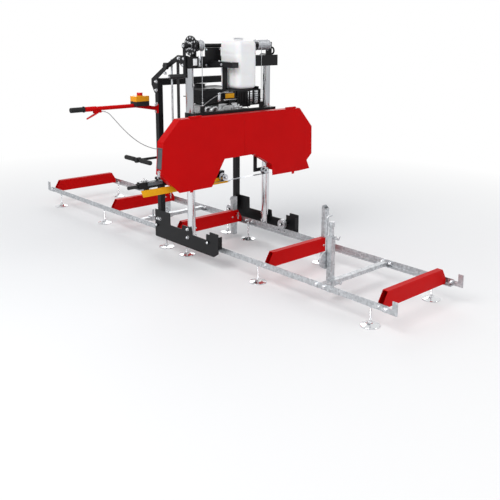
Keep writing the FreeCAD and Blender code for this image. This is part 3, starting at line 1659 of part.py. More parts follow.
def engine_shroud():
    """Fan housing on the rear of the engine and the duct over it, with the air cleaner box."""
    housing = disc("x", fan_radius, fan_rear, crankcase_rear, drive_line, drive_height)
    duct_range = (crankcase_near, muffler_near - muffler_wall)
    duct = plate("x", rectangle(duct_range, (crankcase_top, fuel_tank_bottom)),
                 fan_rear + fin_margin, crankcase_front, fin_margin)
    bracket_x = tank_x_front + muffler_wall
    stay = block((crankcase_front, bracket_x + bracket_thickness), bracket_range,
                 (fuel_tank_bottom - fin_margin, fuel_tank_bottom - muffler_wall))
    stay_top = fuel_tank_top - fuel_tank_edge
    upright = block((bracket_x, bracket_x + bracket_thickness), bracket_range,
                    (fuel_tank_bottom - fin_margin, stay_top))
    box = plate("y", rectangle((air_box_rear, air_box_front), (air_box_bottom, air_box_top)),
                air_box_near, air_box_far, fin_margin)
    return group([joined([housing, duct, stay, upright]), box])


def fuel_tank():
    """Pressed fuel tank, closed and full, with its filler neck."""
    body = plate("z", rectangle((tank_x_rear, tank_x_front), (tank_y_near, tank_y_far)),
                 fuel_tank_bottom, fuel_tank_top, fuel_tank_corner)
    rims = [edge for edge in body.Edges
            if abs(edge.BoundBox.ZMin - edge.BoundBox.ZMax) < overrun]
    body = body.makeChamfer(fuel_tank_edge, rims)
    neck = disc("z", fuel_neck_radius, fuel_tank_top - overrun, fuel_tank_top + fuel_neck_height,
                fuel_cap_x, fuel_cap_y)
    return joined([body, neck])


def fuel_cap():
    """Cap over the fuel tank's neck."""
    bottom = fuel_tank_top + close_gap * 2
    cap = disc("z", fuel_cap_radius, bottom, fuel_tank_top + fuel_cap_height, fuel_cap_x, fuel_cap_y)
    inside = fuel_tank_top + fuel_neck_height + cap_fit
    return cap.cut(disc("z", fuel_neck_radius + cap_fit, bottom - overrun, inside, fuel_cap_x,
                        fuel_cap_y))


def muffler():
    """Slotted guard box round the muffler's drum, with the pipe down to the cylinder."""
    x_range = (muffler_rear, muffler_front)
    y_range = (muffler_near, muffler_far)
    box = plate("z", rectangle(x_range, y_range), muffler_bottom, muffler_top, fin_margin)
    inside = plate("z", rectangle((muffler_rear + muffler_wall, muffler_front - muffler_wall),
                                  (muffler_near + muffler_wall, muffler_far - muffler_wall)),
                   muffler_bottom - overrun, muffler_top - muffler_wall,
                   fin_margin - muffler_wall)
    shell = box.cut(inside)
    slot_pitch = (muffler_far - muffler_near - fin_margin * 2) / muffler_slot_count
    for number in range(muffler_slot_count):
        start = muffler_near + fin_margin + slot_pitch * (number + 0.25)
        shell = shell.cut(block((muffler_front - muffler_wall * 2, muffler_front + overrun),
                                (start, start + muffler_slot_width),
                                (muffler_bottom + fin_margin * 2, muffler_top - fin_margin * 2)))
    core = block((muffler_rear + muffler_core_gap, muffler_front - muffler_core_gap),
                 (muffler_near + muffler_wall, muffler_far - muffler_core_gap),
                 (muffler_bottom, muffler_top - muffler_core_gap))
    pipe = disc("z", exhaust_radius, cylinder_top, muffler_bottom + muffler_wall,
                (crankcase_rear + crankcase_front) / 2, (crankcase_far + cylinder_far) / 2)
    return joined([shell, core, pipe])


def cord(points, radius):
    """Round cord of straight runs joined by tangent arcs, each as large as its runs allow."""
    corners = [Vector(*point) for point in points]
    bends = [0]
    for index in range(1, len(corners) - 1):
        back = corners[index - 1] - corners[index]
        ahead = corners[index + 1] - corners[index]
        half_turn = (math.pi - back.getAngle(ahead)) / 2
        shorter = min(back.Length, ahead.Length)
        bends.append(cable_run_share * shorter / math.tan(half_turn))
    bends.append(0)
    solid = bent_solid(points, bends, radius)
    length = sum((after - before).Length for before, after in zip(corners, corners[1:]))
    for index in range(1, len(corners) - 1):
        half_turn = (math.pi - (corners[index - 1] - corners[index]).getAngle(
            corners[index + 1] - corners[index])) / 2
        length += 2 * bends[index] * (half_turn - math.tan(half_turn))
    print("cord bend radii", min(bends[1:-1]), max(bends[1:-1]))
    print("cord volume", solid.Volume, "expected", math.pi * radius ** 2 * length)
    return solid


def throttle_cable():
    """Cable between the throttle lever and the engine."""
    return cord(throttle_cable_points, cable_radius)


def build():
    """Every named piece of the sawmill."""
    parts = {
        "rail_near": rail(-1),
        "rail_far": rail(1),
        "bunks": bunks(),
        "cross_members": cross_members(),
        "end_stops": end_stops(),
        "splice_plates": splice_plates(),
        "leveling_feet": leveling_feet(),
        "clamp_slide_front": clamp_slide_front(),
        "clamp_dog_front": clamp_dog_front(),
        "clamp_lever_front": clamp_lever_front(),
        "clamp_slide_rear": clamp_slide_rear(),
        "clamp_dog_rear": clamp_dog_rear(),
        "side_plate_near": side_plate(-1),
        "side_plate_far": side_plate(1),
        "front_wheels": wheels(front_wheel_place),
        "rear_wheels": wheels(rear_wheel_place),
        "rear_frame": rear_frame(),
        "lift_posts": lift_posts(),
        "top_beam": top_beam(),
        "winch_shaft": winch_shaft(),
        "winch_cover": winch_cover(),
        "crank_arm": crank_arm(),
        "crank_grip": crank_grip(),
        "index_pin": index_pin(),
        "lift_ropes": lift_ropes(),
        "push_handle": push_handle(),
        "handle_grip": handle_grip(),
        "throttle_lever": throttle_lever(),
        "throttle_cable": throttle_cable(),
        "stop_box": stop_box(),
        "stop_button": stop_button(),
        "depth_gauge": depth_gauge(),
        "water_tank": water_tank(),
        "water_cap": water_cap(),
        "tank_tray": tank_tray(),
        "head_frame": head_frame(),
        "guard_back": guard_back(),
        "guard_door_near": guard_door(-1),
        "guard_door_far": guard_door(1),
        "band_wheel_near": band_wheel_near(),
        "band_wheel_far": band_wheel_far(),
        "saw_band": saw_band(),
        "tension_slide": tension_slide(),
        "tension_handle": tension_handle(),
        "guide_arm": guide_arm(),
        "guide_roller_near": guide_roller(near_guide_line),
        "guide_roller_far": guide_roller(far_guide_line),
        "drive_pulley": drive_pulley(),
        "drive_belt": drive_belt(),
        "engine_block": engine_block(),
        "engine_shroud": engine_shroud(),
        "fuel_tank": fuel_tank(),
        "fuel_cap": fuel_cap(),
        "muffler": muffler(),
    }
    for number in range(len(log_stop_bunks)):
        parts["log_stop_%d" % (number + 1)] = log_stop(number)
        parts["stop_screw_%d" % (number + 1)] = stop_screw(number)
    return parts


def main():
    """Write one file for each named piece, with the whole width centred on the origin."""
    os.makedirs("parts", exist_ok=True)
    parts = build()
    middle = (grip_end + guard_near_edge + guard_length) / 2
    for name, shape in parts.items():
        shape = moved(shape, y=-middle)
        shape.exportStep("parts/" + name + ".step")
        print(name, len(shape.Solids), shape.isValid(), shape.BoundBox)
    print("nodes", len(parts))


main()
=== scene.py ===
# %% [markdown]
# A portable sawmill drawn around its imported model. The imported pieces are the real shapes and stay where
# they are. This notebook gives them their finishes and adds the small things that a maker fits last:
# bolts, nuts, threads, handles, springs, teeth and covers.

import json
import math

import bmesh
import bpy
from mathutils import Matrix, Vector


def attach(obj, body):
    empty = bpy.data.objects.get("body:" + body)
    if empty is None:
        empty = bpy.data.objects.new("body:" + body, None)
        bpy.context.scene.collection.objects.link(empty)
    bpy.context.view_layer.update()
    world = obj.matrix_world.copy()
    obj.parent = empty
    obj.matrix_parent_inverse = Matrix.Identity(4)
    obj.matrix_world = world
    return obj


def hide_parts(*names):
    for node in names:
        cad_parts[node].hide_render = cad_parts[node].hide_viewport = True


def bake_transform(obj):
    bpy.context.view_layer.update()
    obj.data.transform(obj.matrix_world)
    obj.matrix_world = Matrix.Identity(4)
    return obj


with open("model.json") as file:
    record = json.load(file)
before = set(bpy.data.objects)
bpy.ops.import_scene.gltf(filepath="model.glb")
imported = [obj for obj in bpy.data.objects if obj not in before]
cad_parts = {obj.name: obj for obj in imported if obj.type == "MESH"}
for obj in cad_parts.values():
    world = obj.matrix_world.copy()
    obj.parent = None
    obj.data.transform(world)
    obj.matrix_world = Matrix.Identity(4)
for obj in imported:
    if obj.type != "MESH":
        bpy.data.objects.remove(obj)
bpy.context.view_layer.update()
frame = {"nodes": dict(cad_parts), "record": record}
nodes = frame["nodes"]
mm = 0.001
row_shift = 0.1925
print("packed pieces", len(nodes))

# %% [markdown]
# Places in this notebook are measured from the middle of the track, as the drawings give them, in
# millimetres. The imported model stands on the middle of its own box, so one helper turns a drawing place
# into a place in the model.


# %% A place from the drawings
def spot(x, y, z):
    """Place in the model, in metres, of a place in the drawings, in millimetres."""
    return Vector((x * mm, y * mm + row_shift, z * mm))


# %% [markdown]
# Every finish is a small set of nodes on object coordinates, so the grain has its real size and stays on
# the piece when it moves. Broad noise varies the colour as dust and handling do, and fine noise gives the
# skin its bump. Uniform numbers such as the metal amount sit on the shader itself.


# %% A helper for grained finishes
def finish(name, color, roughness, metallic=0.0, spread=0.12, patch=6.0, grain=350.0, bump=0.15,
           depth=0.0004, gleam=0.5, stretch=(1, 1, 1)):
    """Material with a patchy colour, an uneven gloss and a fine bumpy skin."""
    material = bpy.data.materials.new(name)
    material.use_nodes = True
    tree = material.node_tree
    shader = tree.nodes["Principled BSDF"]
    shader.inputs["Metallic"].default_value = metallic
    shader.inputs["Specular IOR Level"].default_value = gleam
    place = tree.nodes.new("ShaderNodeTexCoord")
    mapping = tree.nodes.new("ShaderNodeMapping")
    mapping.inputs["Scale"].default_value = stretch
    broad = tree.nodes.new("ShaderNodeTexNoise")
    broad.inputs["Scale"].default_value = patch
    broad.inputs["Detail"].default_value = 6.0
    fine = tree.nodes.new("ShaderNodeTexNoise")
    fine.inputs["Scale"].default_value = grain
    fine.inputs["Detail"].default_value = 3.0
    shades = tree.nodes.new("ShaderNodeValToRGB")
    shades.color_ramp.elements[0].position = 0.3
    shades.color_ramp.elements[1].position = 0.7
    shades.color_ramp.elements[0].color = [c * (1 - spread) for c in color] + [1]
    shades.color_ramp.elements[1].color = [min(1, c * (1 + spread)) for c in color] + [1]
    gloss = tree.nodes.new("ShaderNodeMapRange")
    gloss.inputs["To Min"].default_value = roughness * 0.8
    gloss.inputs["To Max"].default_value = min(1.0, roughness * 1.2)
    skin = tree.nodes.new("ShaderNodeBump")
    skin.inputs["Strength"].default_value = bump
    skin.inputs["Distance"].default_value = depth
    link = tree.links.new
    link(place.outputs["Object"], mapping.inputs["Vector"])
    link(mapping.outputs["Vector"], broad.inputs["Vector"])
    link(mapping.outputs["Vector"], fine.inputs["Vector"])
    link(broad.outputs["Fac"], shades.inputs["Fac"])
    link(shades.outputs["Color"], shader.inputs["Base Color"])
    link(broad.outputs["Fac"], gloss.inputs["Value"])
    link(gloss.outputs["Result"], shader.inputs["Roughness"])
    link(fine.outputs["Fac"], skin.inputs["Height"])
    link(skin.outputs["Normal"], shader.inputs["Normal"])
    return material


# %% [markdown]
# Paints first. Powder coat is smooth with a faint orange peel and a clear gloss, red on the guard, bunks
# and handle, and satin black on the frame.

# %% Paint finishes
red_coat = finish("red_powder_coat", (0.54, 0.0012, 0.0018), 0.4, spread=0.04, grain=260, bump=0.06,
                  gleam=0.07)
black_coat = finish("black_powder_coat", (0.008, 0.008, 0.009), 0.38, spread=0.25, grain=300, bump=0.1,
                    gleam=0.2)
yellow_coat = finish("yellow_paint", (0.80, 0.38, 0.004), 0.4, spread=0.05, grain=240, bump=0.06,
                     gleam=0.2)
grey_coat = finish("dark_grey_paint", (0.10, 0.11, 0.12), 0.45, spread=0.15, grain=280, bump=0.1,
                   gleam=0.3)

# %% [markdown]
# Bare metals come next. Turned and ground steel shows fine lines, castings a coarse sandy skin, and the
# chromed posts nothing but faint wiping marks.

# %% Bare metal finishes
chrome = finish("chromed_steel", (0.72, 0.73, 0.745), 0.16, metallic=1.0, spread=0.03, grain=90,
                bump=0.02, stretch=(1, 1, 0.1))
bare_steel = finish("machined_steel", (0.58, 0.59, 0.61), 0.3, metallic=1.0, spread=0.1, grain=700,
                    bump=0.1, stretch=(1, 1, 4))
cast_iron = finish("cast_iron", (0.30, 0.30, 0.31), 0.48, metallic=0.8, spread=0.2, grain=420, bump=0.4)
cast_alloy = finish("cast_alloy", (0.62, 0.63, 0.64), 0.42, metallic=0.9, spread=0.1, grain=500,
                    bump=0.35)
band_steel = finish("band_steel", (0.50, 0.52, 0.56), 0.28, metallic=1.0, spread=0.15, patch=12,
                    grain=160, bump=0.08, stretch=(1, 0.2, 1))
bright_zinc = finish("bright_zinc", (0.72, 0.73, 0.75), 0.26, metallic=1.0, spread=0.08, grain=600,
                     bump=0.08)

# %% [markdown]
# Rubber is matt and a little dusty, moulded plastic has a fine spark-eroded grain, and the tank's plastic
# is milky: some light goes into it and comes out softened, which subsurface scattering gives.

# %% Rubber and plastic finishes
rubber = finish("black_rubber", (0.012, 0.012, 0.012), 0.7, spread=0.3, grain=500, bump=0.3, gleam=0.25)
black_plastic = finish("black_plastic", (0.011, 0.011, 0.012), 0.45, spread=0.15, grain=900, bump=0.2,
                       gleam=0.3)
red_plastic = finish("red_plastic", (0.60, 0.006, 0.006), 0.3, spread=0.05, grain=600, bump=0.05,
                     gleam=0.3)
yellow_plastic = finish("yellow_plastic", (0.82, 0.34, 0.004), 0.38, spread=0.05, grain=700, bump=0.1,
                        gleam=0.3)
milky_plastic = finish("milky_plastic", (0.84, 0.84, 0.84), 0.5, spread=0.015, grain=120, bump=0.08,
                       gleam=0.15)
milky_shader = milky_plastic.node_tree.nodes["Principled BSDF"]
milky_shader.inputs["Subsurface Weight"].default_value = 0.2
milky_shader.inputs["Subsurface Scale"].default_value = 0.02
white_plastic = finish("white_plastic", (0.85, 0.86, 0.87), 0.4, spread=0.03, grain=700, bump=0.08)
cable_plastic = finish("cable_grey_plastic", (0.38, 0.385, 0.39), 0.35, spread=0.1, grain=600, bump=0.05)

# %% [markdown]
# Hot-dip zinc freezes into flat crystals, each a slightly different grey. A Voronoi pattern gives one
# shade to each cell, which is how the rails, cross members and clamps look close by.

# %% The galvanised finish
galvanised = finish("galvanised_steel", (0.52, 0.54, 0.56), 0.42, metallic=0.85, spread=0.08, grain=200,
                    bump=0.1)
zinc_tree = galvanised.node_tree
crystals = zinc_tree.nodes.new("ShaderNodeTexVoronoi")
crystals.inputs["Scale"].default_value = 70.0
crystal_shade = zinc_tree.nodes.new("ShaderNodeValToRGB")
crystal_shade.color_ramp.elements[0].color = (0.40, 0.415, 0.43, 1)
crystal_shade.color_ramp.elements[1].color = (0.66, 0.68, 0.70, 1)
zinc_place = zinc_tree.nodes["Mapping"].outputs["Vector"]
zinc_tree.links.new(zinc_place, crystals.inputs["Vector"])
zinc_tree.links.new(crystals.outputs["Color"], crystal_shade.inputs["Fac"])
zinc_shader = zinc_tree.nodes["Principled BSDF"]
zinc_tree.links.new(crystal_shade.outputs["Color"], zinc_shader.inputs["Base Color"])

# %% [markdown]
# The lift ropes are twisted wire. Slanted bands of light and dark, six strands to a turn, read as the lay
# of the strands at this size.

# %% The wire rope finish
wire_rope = finish("wire_rope", (0.45, 0.46, 0.48), 0.4, metallic=0.9, spread=0.1, grain=900, bump=0.2)
rope_tree = wire_rope.node_tree
lay = rope_tree.nodes.new("ShaderNodeTexWave")
lay.wave_type = "BANDS"
lay.bands_direction = "DIAGONAL"
lay.inputs["Scale"].default_value = 90.0
lay_bump = rope_tree.nodes.new("ShaderNodeBump")
lay_bump.inputs["Strength"].default_value = 0.8
lay_bump.inputs["Distance"].default_value = 0.0006
rope_place = rope_tree.nodes["Mapping"].outputs["Vector"]
rope_tree.links.new(rope_place, lay.inputs["Vector"])
rope_tree.links.new(lay.outputs["Fac"], lay_bump.inputs["Height"])
rope_shader = rope_tree.nodes["Principled BSDF"]
rope_tree.links.new(lay_bump.outputs["Normal"], rope_shader.inputs["Normal"])

# %% [markdown]
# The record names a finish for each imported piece. One table turns those names into the materials above,
# and a second lists the few pieces whose finish differs.

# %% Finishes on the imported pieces
slot_finishes = {
    "red_paint": red_coat, "black_paint": black_coat, "galvanised": galvanised,
    "chrome_steel": chrome, "bare_steel": bare_steel, "cast_iron": cast_iron,
    "cast_alloy": cast_alloy, "black_rubber": rubber, "black_plastic": black_plastic,
    "white_plastic": milky_plastic, "yellow_paint": yellow_coat, "red_plastic": red_plastic,
    "grey_paint": grey_coat,
}
own_finishes = {
    "lift_ropes": wire_rope, "saw_band": band_steel, "throttle_cable": cable_plastic,
    "water_cap": white_plastic, "guide_arm": black_coat,
}
for part in frame["record"]["subparts"]:
    node = nodes[part["node"]]
    look = own_finishes.get(part["node"], slot_finishes[part["material_slot"]])
    node.data.materials.clear()
    node.data.materials.append(look)
print("finishes", len(bpy.data.materials))


# %% [markdown]
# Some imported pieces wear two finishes, such as the yellow strip on the black guide arm. Faces whose
# middle lies in a given box take the second one.


# %% A second finish on part of a piece
def repaint(name, second, low, high):
    """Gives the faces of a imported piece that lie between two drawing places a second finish."""
    mesh = nodes[name].data
    mesh.materials.append(second)
    low, high = spot(*low), spot(*high)
    count = 0
    for face in mesh.polygons:
        if all(low[i] <= face.center[i] <= high[i] for i in range(3)):
            face.material_index = len(mesh.materials) - 1
            count += 1
    print(name, "faces in the second finish", count)


repaint("guide_arm", yellow_coat, (337.5, -900, 560), (343.5, -80, 619))
repaint("guide_arm", bare_steel, (283, -140, 560), (400, -80, 700))
repaint("stop_box", yellow_plastic, (-200, -600, 1149), (-80, -470, 1190))
repaint("engine_shroud", cast_alloy, (-21, -180, 960), (131, -59, 1113))
repaint("engine_shroud", cast_alloy, (-90, -61, 1074), (166, 121, 1121))
repaint("winch_shaft", bright_zinc, (150, -303, 1450), (300, -252, 1640))
repaint("winch_shaft", bright_zinc, (150, 245, 1450), (300, 375, 1640))
repaint("depth_gauge", black_plastic, (60, -400, 1000), (145, -350, 1375))

# %% [markdown]
# Next come the small pieces. Each starts as a primitive at its size and place and is shaped in edit mode.
# The helpers pick faces or edges, step faces in and out, move vertices, and settle a piece, which puts its
# place into its mesh and smooths it.


# %% Helpers for shaping pieces
def clear():
    """Leaves edit mode and selects nothing."""
    if bpy.context.object and bpy.context.object.mode == "EDIT":
        bpy.ops.object.mode_set(mode="OBJECT")
    bpy.ops.object.select_all(action="DESELECT")


def edit_shape(kind):
    """Goes into edit mode with nothing selected, and gives the mesh there."""
    bpy.ops.object.mode_set(mode="EDIT")
    bpy.ops.mesh.select_mode(type=kind)
    bpy.ops.mesh.select_all(action="DESELECT")
    return bmesh.from_edit_mesh(bpy.context.object.data)


def pick(test):
    """Selects the faces whose middle and normal pass a test."""
    shape = edit_shape("FACE")
    for face in shape.faces:
        face.select = test(face.calc_center_median(), face.normal)
    shape.select_flush(True)
    bmesh.update_edit_mesh(bpy.context.object.data)


def pick_edges(test, ends=True):
    """Selects the edges whose two ends pass a test, and with ends also what lies between them."""
    shape = edit_shape("EDGE")
    for edge in shape.edges:
        edge.select_set(test(edge.verts[0].co, edge.verts[1].co))
    if ends:
        shape.select_flush(True)
    else:
        shape.select_flush_mode()
    bmesh.update_edit_mesh(bpy.context.object.data)


def steps(way, rises):
    """Insets the picked faces and moves them along a way, once for each pair of an inset and a rise."""
    for inward, rise in rises:
        bpy.ops.mesh.inset(thickness=inward * mm)
        bpy.ops.transform.translate(value=[share * rise * mm for share in way])


def reshape(move):
    """Moves each vertex of the piece in edit mode by a function."""
    bpy.ops.object.mode_set(mode="EDIT")
    shape = bmesh.from_edit_mesh(bpy.context.object.data)
    for vert in shape.verts:
        move(vert)
    bmesh.update_edit_mesh(bpy.context.object.data)


def narrow(vert, share):
    """Draws a vertex towards the upright axis of its piece."""
    vert.co.x *= share
    vert.co.y *= share


def settle(name, look, angle=35):
    """Names the piece, puts its place into its mesh, and gives it a finish."""
    if bpy.context.object.mode == "EDIT":
        bpy.ops.object.mode_set(mode="OBJECT")
    piece = bpy.context.object
    piece.name = name
    piece.data.name = name
    bpy.ops.object.transform_apply(location=True, rotation=True, scale=True)
    piece.data.materials.clear()
    piece.data.materials.append(look)
    bpy.ops.object.shade_smooth_by_angle(angle=math.radians(angle))
    return piece


turns = {"x": (0, math.pi / 2, 0), "y": (-math.pi / 2, 0, 0), "z": (0, 0, 0)}
origin = (0, -row_shift / mm, 0)


def rod(axis, place, radius, length, sides=24):
    """Round primitive along an axis, centred on a drawing place."""
    clear()
    bpy.ops.mesh.primitive_cylinder_add(vertices=sides, radius=radius * mm, depth=length * mm,
                                        location=spot(*place), rotation=turns[axis])
    bpy.ops.object.transform_apply(location=False, rotation=True, scale=True)


def ring(place, radius, thickness, around, across, rotation):
    """Round ring centred on a drawing place."""
    clear()
    bpy.ops.mesh.primitive_torus_add(major_segments=around, minor_segments=across, major_radius=radius * mm,
                                     minor_radius=thickness * mm, location=spot(*place), rotation=rotation)


def slab(low, high, edge=1.0, segments=2):
    """Block between two drawing places with its edges eased."""
    clear()
    low, high = Vector(low), Vector(high)
    bpy.ops.mesh.primitive_cube_add(size=1.0, location=spot(*((low + high) / 2)), scale=(high - low) * mm)
    bpy.ops.object.transform_apply(location=False, rotation=False, scale=True)
    bpy.ops.object.mode_set(mode="EDIT")
    bpy.ops.mesh.bevel(offset=edge * mm, segments=segments, affect="EDGES")
    bpy.ops.object.mode_set(mode="OBJECT")


def block(low, high, edge, segments, name, look, angle=30):
    """Slab with a name and a finish."""
    slab(low, high, edge, segments)
    return settle(name, look, angle)


# %% [markdown]
# A model that is used again stands along +Z on the middle of the model. It is turned to a direction, moved
# to its place, copied and joined, and the joined piece rides on a body.


# %% Helpers for placing pieces
def aim(place, direction):
    """Turns a model that stands along +Z on the origin to a direction, and moves it to a drawing place."""
    turn = Vector(direction).to_track_quat("Z", "Y").to_matrix().to_4x4()
    return Matrix.Translation(spot(*place)) @ turn


def raised(piece, height):
    """The piece, moved up by a height."""
    piece.data.transform(Matrix.Translation((0, 0, height * mm)))
    return piece


def aimed(piece, place, direction):
    """The piece, stood on a drawing place along a direction."""
    piece.data.transform(aim(place, direction))
    return piece


def joined(pieces, name):
    """Joins pieces into one."""
    clear()
    for piece in pieces:
        piece.select_set(True)
    bpy.context.view_layer.objects.active = pieces[0]
    if len(pieces) > 1:
        bpy.ops.object.join()
    whole = bpy.context.object
    whole.name = name
    whole.data.name = name
    return whole


def union(pieces, name, body):
    """Joins pieces into one, which rides on a body."""
    whole = joined(pieces, name)
    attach(whole, body)
    return whole


def scatter(model, name, places, body):
    """Copies of a model that stands along +Z, one at each drawing place and direction, as one piece."""
    copies = []
    for place, direction in places:
        copy = bpy.data.objects.new(name, model.data.copy())
        bpy.context.scene.collection.objects.link(copy)
        copies.append(aimed(copy, place, direction))
    print(name, len(places))
    return union(copies, name, body)


def circle(axis, middle, radius, angles, direction):
    """Places on an upright circle that lies along an axis, each with the same direction."""
    places = []
    for angle in angles:
        place = list(middle)
        place[axis] += radius * math.cos(math.radians(angle))
        place[2] += radius * math.sin(math.radians(angle))
        places.append((place, direction))
    return places


# %% [markdown]
# A hexagon bolt with its washer. The head is a six-sided primitive whose upper face is inset and raised a
# little, which leaves the chamfer of a forged head. The washer is a low disc with a bevelled rim.


# %% The model bolts
def bolt_model(name, across, height, washer_radius, washer_height, thread=0.0):
    """Bolt head, or nut with a thread end, on a washer, standing along +Z on the origin."""
    rod("z", origin, washer_radius, washer_height, 28)
    pick(lambda middle, normal: abs(normal.z) > 0.9)
    bpy.ops.mesh.bevel(offset=washer_height * 0.3 * mm, segments=2, affect="EDGES")
    parts = [raised(settle(name + "_washer", bright_zinc), washer_height / 2)]
    rod("z", origin, across / 2, height, 6)
    pick(lambda middle, normal: normal.z > 0.9)
    steps((0, 0, 1), [(across * 0.06, height * 0.1)])
    parts.append(raised(settle(name + "_head", bright_zinc, 20), washer_height + height / 2))
    if thread > 0:
        rod("z", origin, across * 0.26, thread, 16)
        pick(lambda middle, normal: normal.z > 0.9)
        steps((0, 0, 1), [(across * 0.05, across * 0.05)])
        parts.append(raised(settle(name + "_thread", bright_zinc), washer_height + height + thread / 2))
    return joined(parts, name)


bolt_12 = bolt_model("bolt_12", 21.0, 7.5, 12.0, 2.5)
bolt_8 = bolt_model("bolt_8", 15.0, 5.5, 8.5, 1.6)
bolt_6 = bolt_model("bolt_6", 11.5, 4.5, 6.5, 1.2)
nut_12 = bolt_model("nut_12", 21.0, 10.0, 12.0, 2.5, thread=5.0)
nut_8 = bolt_model("nut_8", 15.0, 6.5, 8.5, 1.6, thread=3.5)

# %% [markdown]
# Screwed rods show from every side, so their threads are real. A cylinder's upright edges are subdivided
# and every second ring is drawn in, which reads as a thread at this size.


# %% A threaded rod
def threaded(place, radius, length, pitch, name, look, sides=14):
    """Upright rod with a ringed thread, centred on a drawing place."""
    rod("z", place, radius, length, sides)
    pick_edges(lambda a, b: abs(a.z - b.z) > length * mm / 2, ends=False)
    rings = int(length / pitch) * 2
    bpy.ops.mesh.subdivide(number_cuts=rings - 1)
    shape = edit_shape("VERT")
    low = min(vert.co.z for vert in shape.verts)
    for vert in shape.verts:
        vert.select = round((vert.co.z - low) / (length * mm / rings)) % 2 == 1
    shape.select_flush(True)
    bmesh.update_edit_mesh(bpy.context.object.data)
    bpy.ops.transform.resize(value=(0.84, 0.84, 1.0))
    return settle(name, look, 20)


# %% [markdown]
# Each leveling foot is a chromed pressed dish on a threaded rod, locked by a nut above and below the rail.
# The dish starts as a low disc; its upper face is inset and raised in steps to the hub.

# %% Leveling feet
foot_line = 306.0
foot_places = (-1858.0, -1088.0, -173.0, 86.0, 878.0, 1846.0)
rod("z", (0, origin[1], 2.0), 60.0, 4.0, 48)
pick(lambda middle, normal: normal.z > 0.9)
steps((0, 0, 1), ((3.0, 3.0), (8.0, 2.0), (16.0, 3.0), (14.0, 5.0), (5.0, 4.0), (1.0, 4.0)))
bpy.ops.mesh.inset(thickness=1.2 * mm)
foot_parts = [settle("dish", chrome, 28),
              threaded((0, origin[1], 83.0), 6.0, 134.0, 3.2, "stem", bright_zinc)]
for model, name, height, way in ((nut_12, "upper_nut", 130.0, 1), (nut_12, "lower_nut", 126.0, -1),
                                 (bolt_12, "pad_nut", 24.0, 1)):
    foot_parts.append(scatter(model, name, [((0, origin[1], height), (0, 0, way))], "track"))
foot = union(foot_parts, "foot", "track")
foot_spots = [((place, side * foot_line, 0.0), (0, 0, 1)) for place in foot_places for side in (-1, 1)]
feet = scatter(foot, "screw_feet", foot_spots, "track")
bpy.data.objects.remove(foot)
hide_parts("leveling_feet")

# %% [markdown]
# Bolts hold the cross members, the splice plates and the end stops to the upright leg of the angle. Their
# heads are outside and the nuts inside, on the plates.

# %% Track bolts
rail_face = 330.0
plate_face = 321.0
bolt_line = 146.0
cross_bolts = [middle + shift for middle in (-522.0, 1466.0) for shift in (-32.0, 32.0)]
splice_bolts = [-118.0, -50.0, 50.0, 118.0]
track_heads = []
track_nuts = []
for side in (-1, 1):
    for place in cross_bolts + splice_bolts:
        track_heads.append(((place, side * rail_face, bolt_line), (0, side, 0)))
        track_nuts.append(((place, side * plate_face, bolt_line), (0, -side, 0)))
    for place in (-1972.0, 1972.0):
        track_heads.append(((place, side * (rail_face + 6.0), bolt_line), (0, side, 0)))
        track_nuts.append(((place, side * (rail_face - 4.0), bolt_line), (0, -side, 0)))
scatter(bolt_12, "track_bolt_heads", track_heads, "track")
scatter(nut_12, "track_nuts", track_nuts, "track")

# %% [markdown]
# The bunks are welded rectangular tube. A bead runs along the foot of each one where it sits on the rail,
# and the bead is a thin rod pulled into small waves.


# %% Weld beads
def bead(start, end, radius, waves):
    """Red weld bead between two drawing places: a thin rod whose rings swell in turn."""
    start_spot, end_spot = spot(*start), spot(*end)
    run = end_spot - start_spot

    def swell(vert):
        ring_number = round((vert.co.z / run.length + 0.5) * 2 * waves)
        narrow(vert, 1.0 if ring_number % 2 else 0.72)

    clear()
    bpy.ops.mesh.primitive_cylinder_add(vertices=8, radius=radius * mm, depth=run.length)
    pick_edges(lambda a, b: abs(a.z - b.z) > run.length / 2)
    bpy.ops.mesh.subdivide(number_cuts=2 * waves - 1)
    reshape(swell)
    bpy.ops.object.mode_set(mode="OBJECT")
    turn = run.to_track_quat("Z", "Y").to_matrix().to_4x4()
    bpy.context.object.data.transform(Matrix.Translation((start_spot + end_spot) / 2) @ turn)
    return settle("bunk_bead", red_coat, 50)


bunk_places = (-1940.0, -945.0, -25.0, 971.0, 1920.0)
bead_height = 130.5
beads = []
for place in bunk_places:
    for side in (-1, 1):
        for edge in (-20.0, 20.0):
            beads.append(bead((place + edge, side * 291.0, bead_height),
                              (place + edge, side * 311.0, bead_height), 2.2, 8))
union(beads, "bunk_beads", "track")

# %% [markdown]
# The carriage is bolted together from plates. Bolts go through the side plates into the feet of the round
# posts, and through the bent plates into the square posts and the top beam.

# %% Carriage bolts
plate_out = 395.0
post_place = 222.0
nut_places = [(post_place, 183.0), (post_place, 244.0), (-128.0, 1117.0), (-128.0, 1216.0), (-128.0, 1278.0),
              (152.0, 1456.0), (212.0, 1456.0), (205.0, 1412.0), (-150.0, 250.0), (-122.0, 250.0),
              (-10.0, 1345.0)]
frame_nuts = [((place, side * plate_out, height), (0, side, 0)) for side in (-1, 1)
              for place, height in nut_places]
scatter(nut_12, "frame_nuts", frame_nuts, "carriage")
base_bolts = [((-134.0, -402.0, height), (0, -1, 0)) for height in (1062.0, 1106.0)]
scatter(bolt_8, "handle_base_bolts", base_bolts, "carriage")
inner_bolts = [((post_place, side * 334.0, height), (0, -side, 0)) for side in (-1, 1)
               for height in (183.0, 244.0)]
scatter(bolt_12, "post_bolts", inner_bolts, "carriage")
cover_bolts = [((255.0, place, height), (1, 0, 0))
               for place in (-240.0, -120.0) for height in (1410.0, 1518.0)]
scatter(bolt_6, "cover_bolts", cover_bolts, "carriage")

# %% [markdown]
# Each axle ends in a large hexagon outside the side plate with a rounded cap nut. The cap is a disc whose
# face is inset and raised again and again, so it domes.


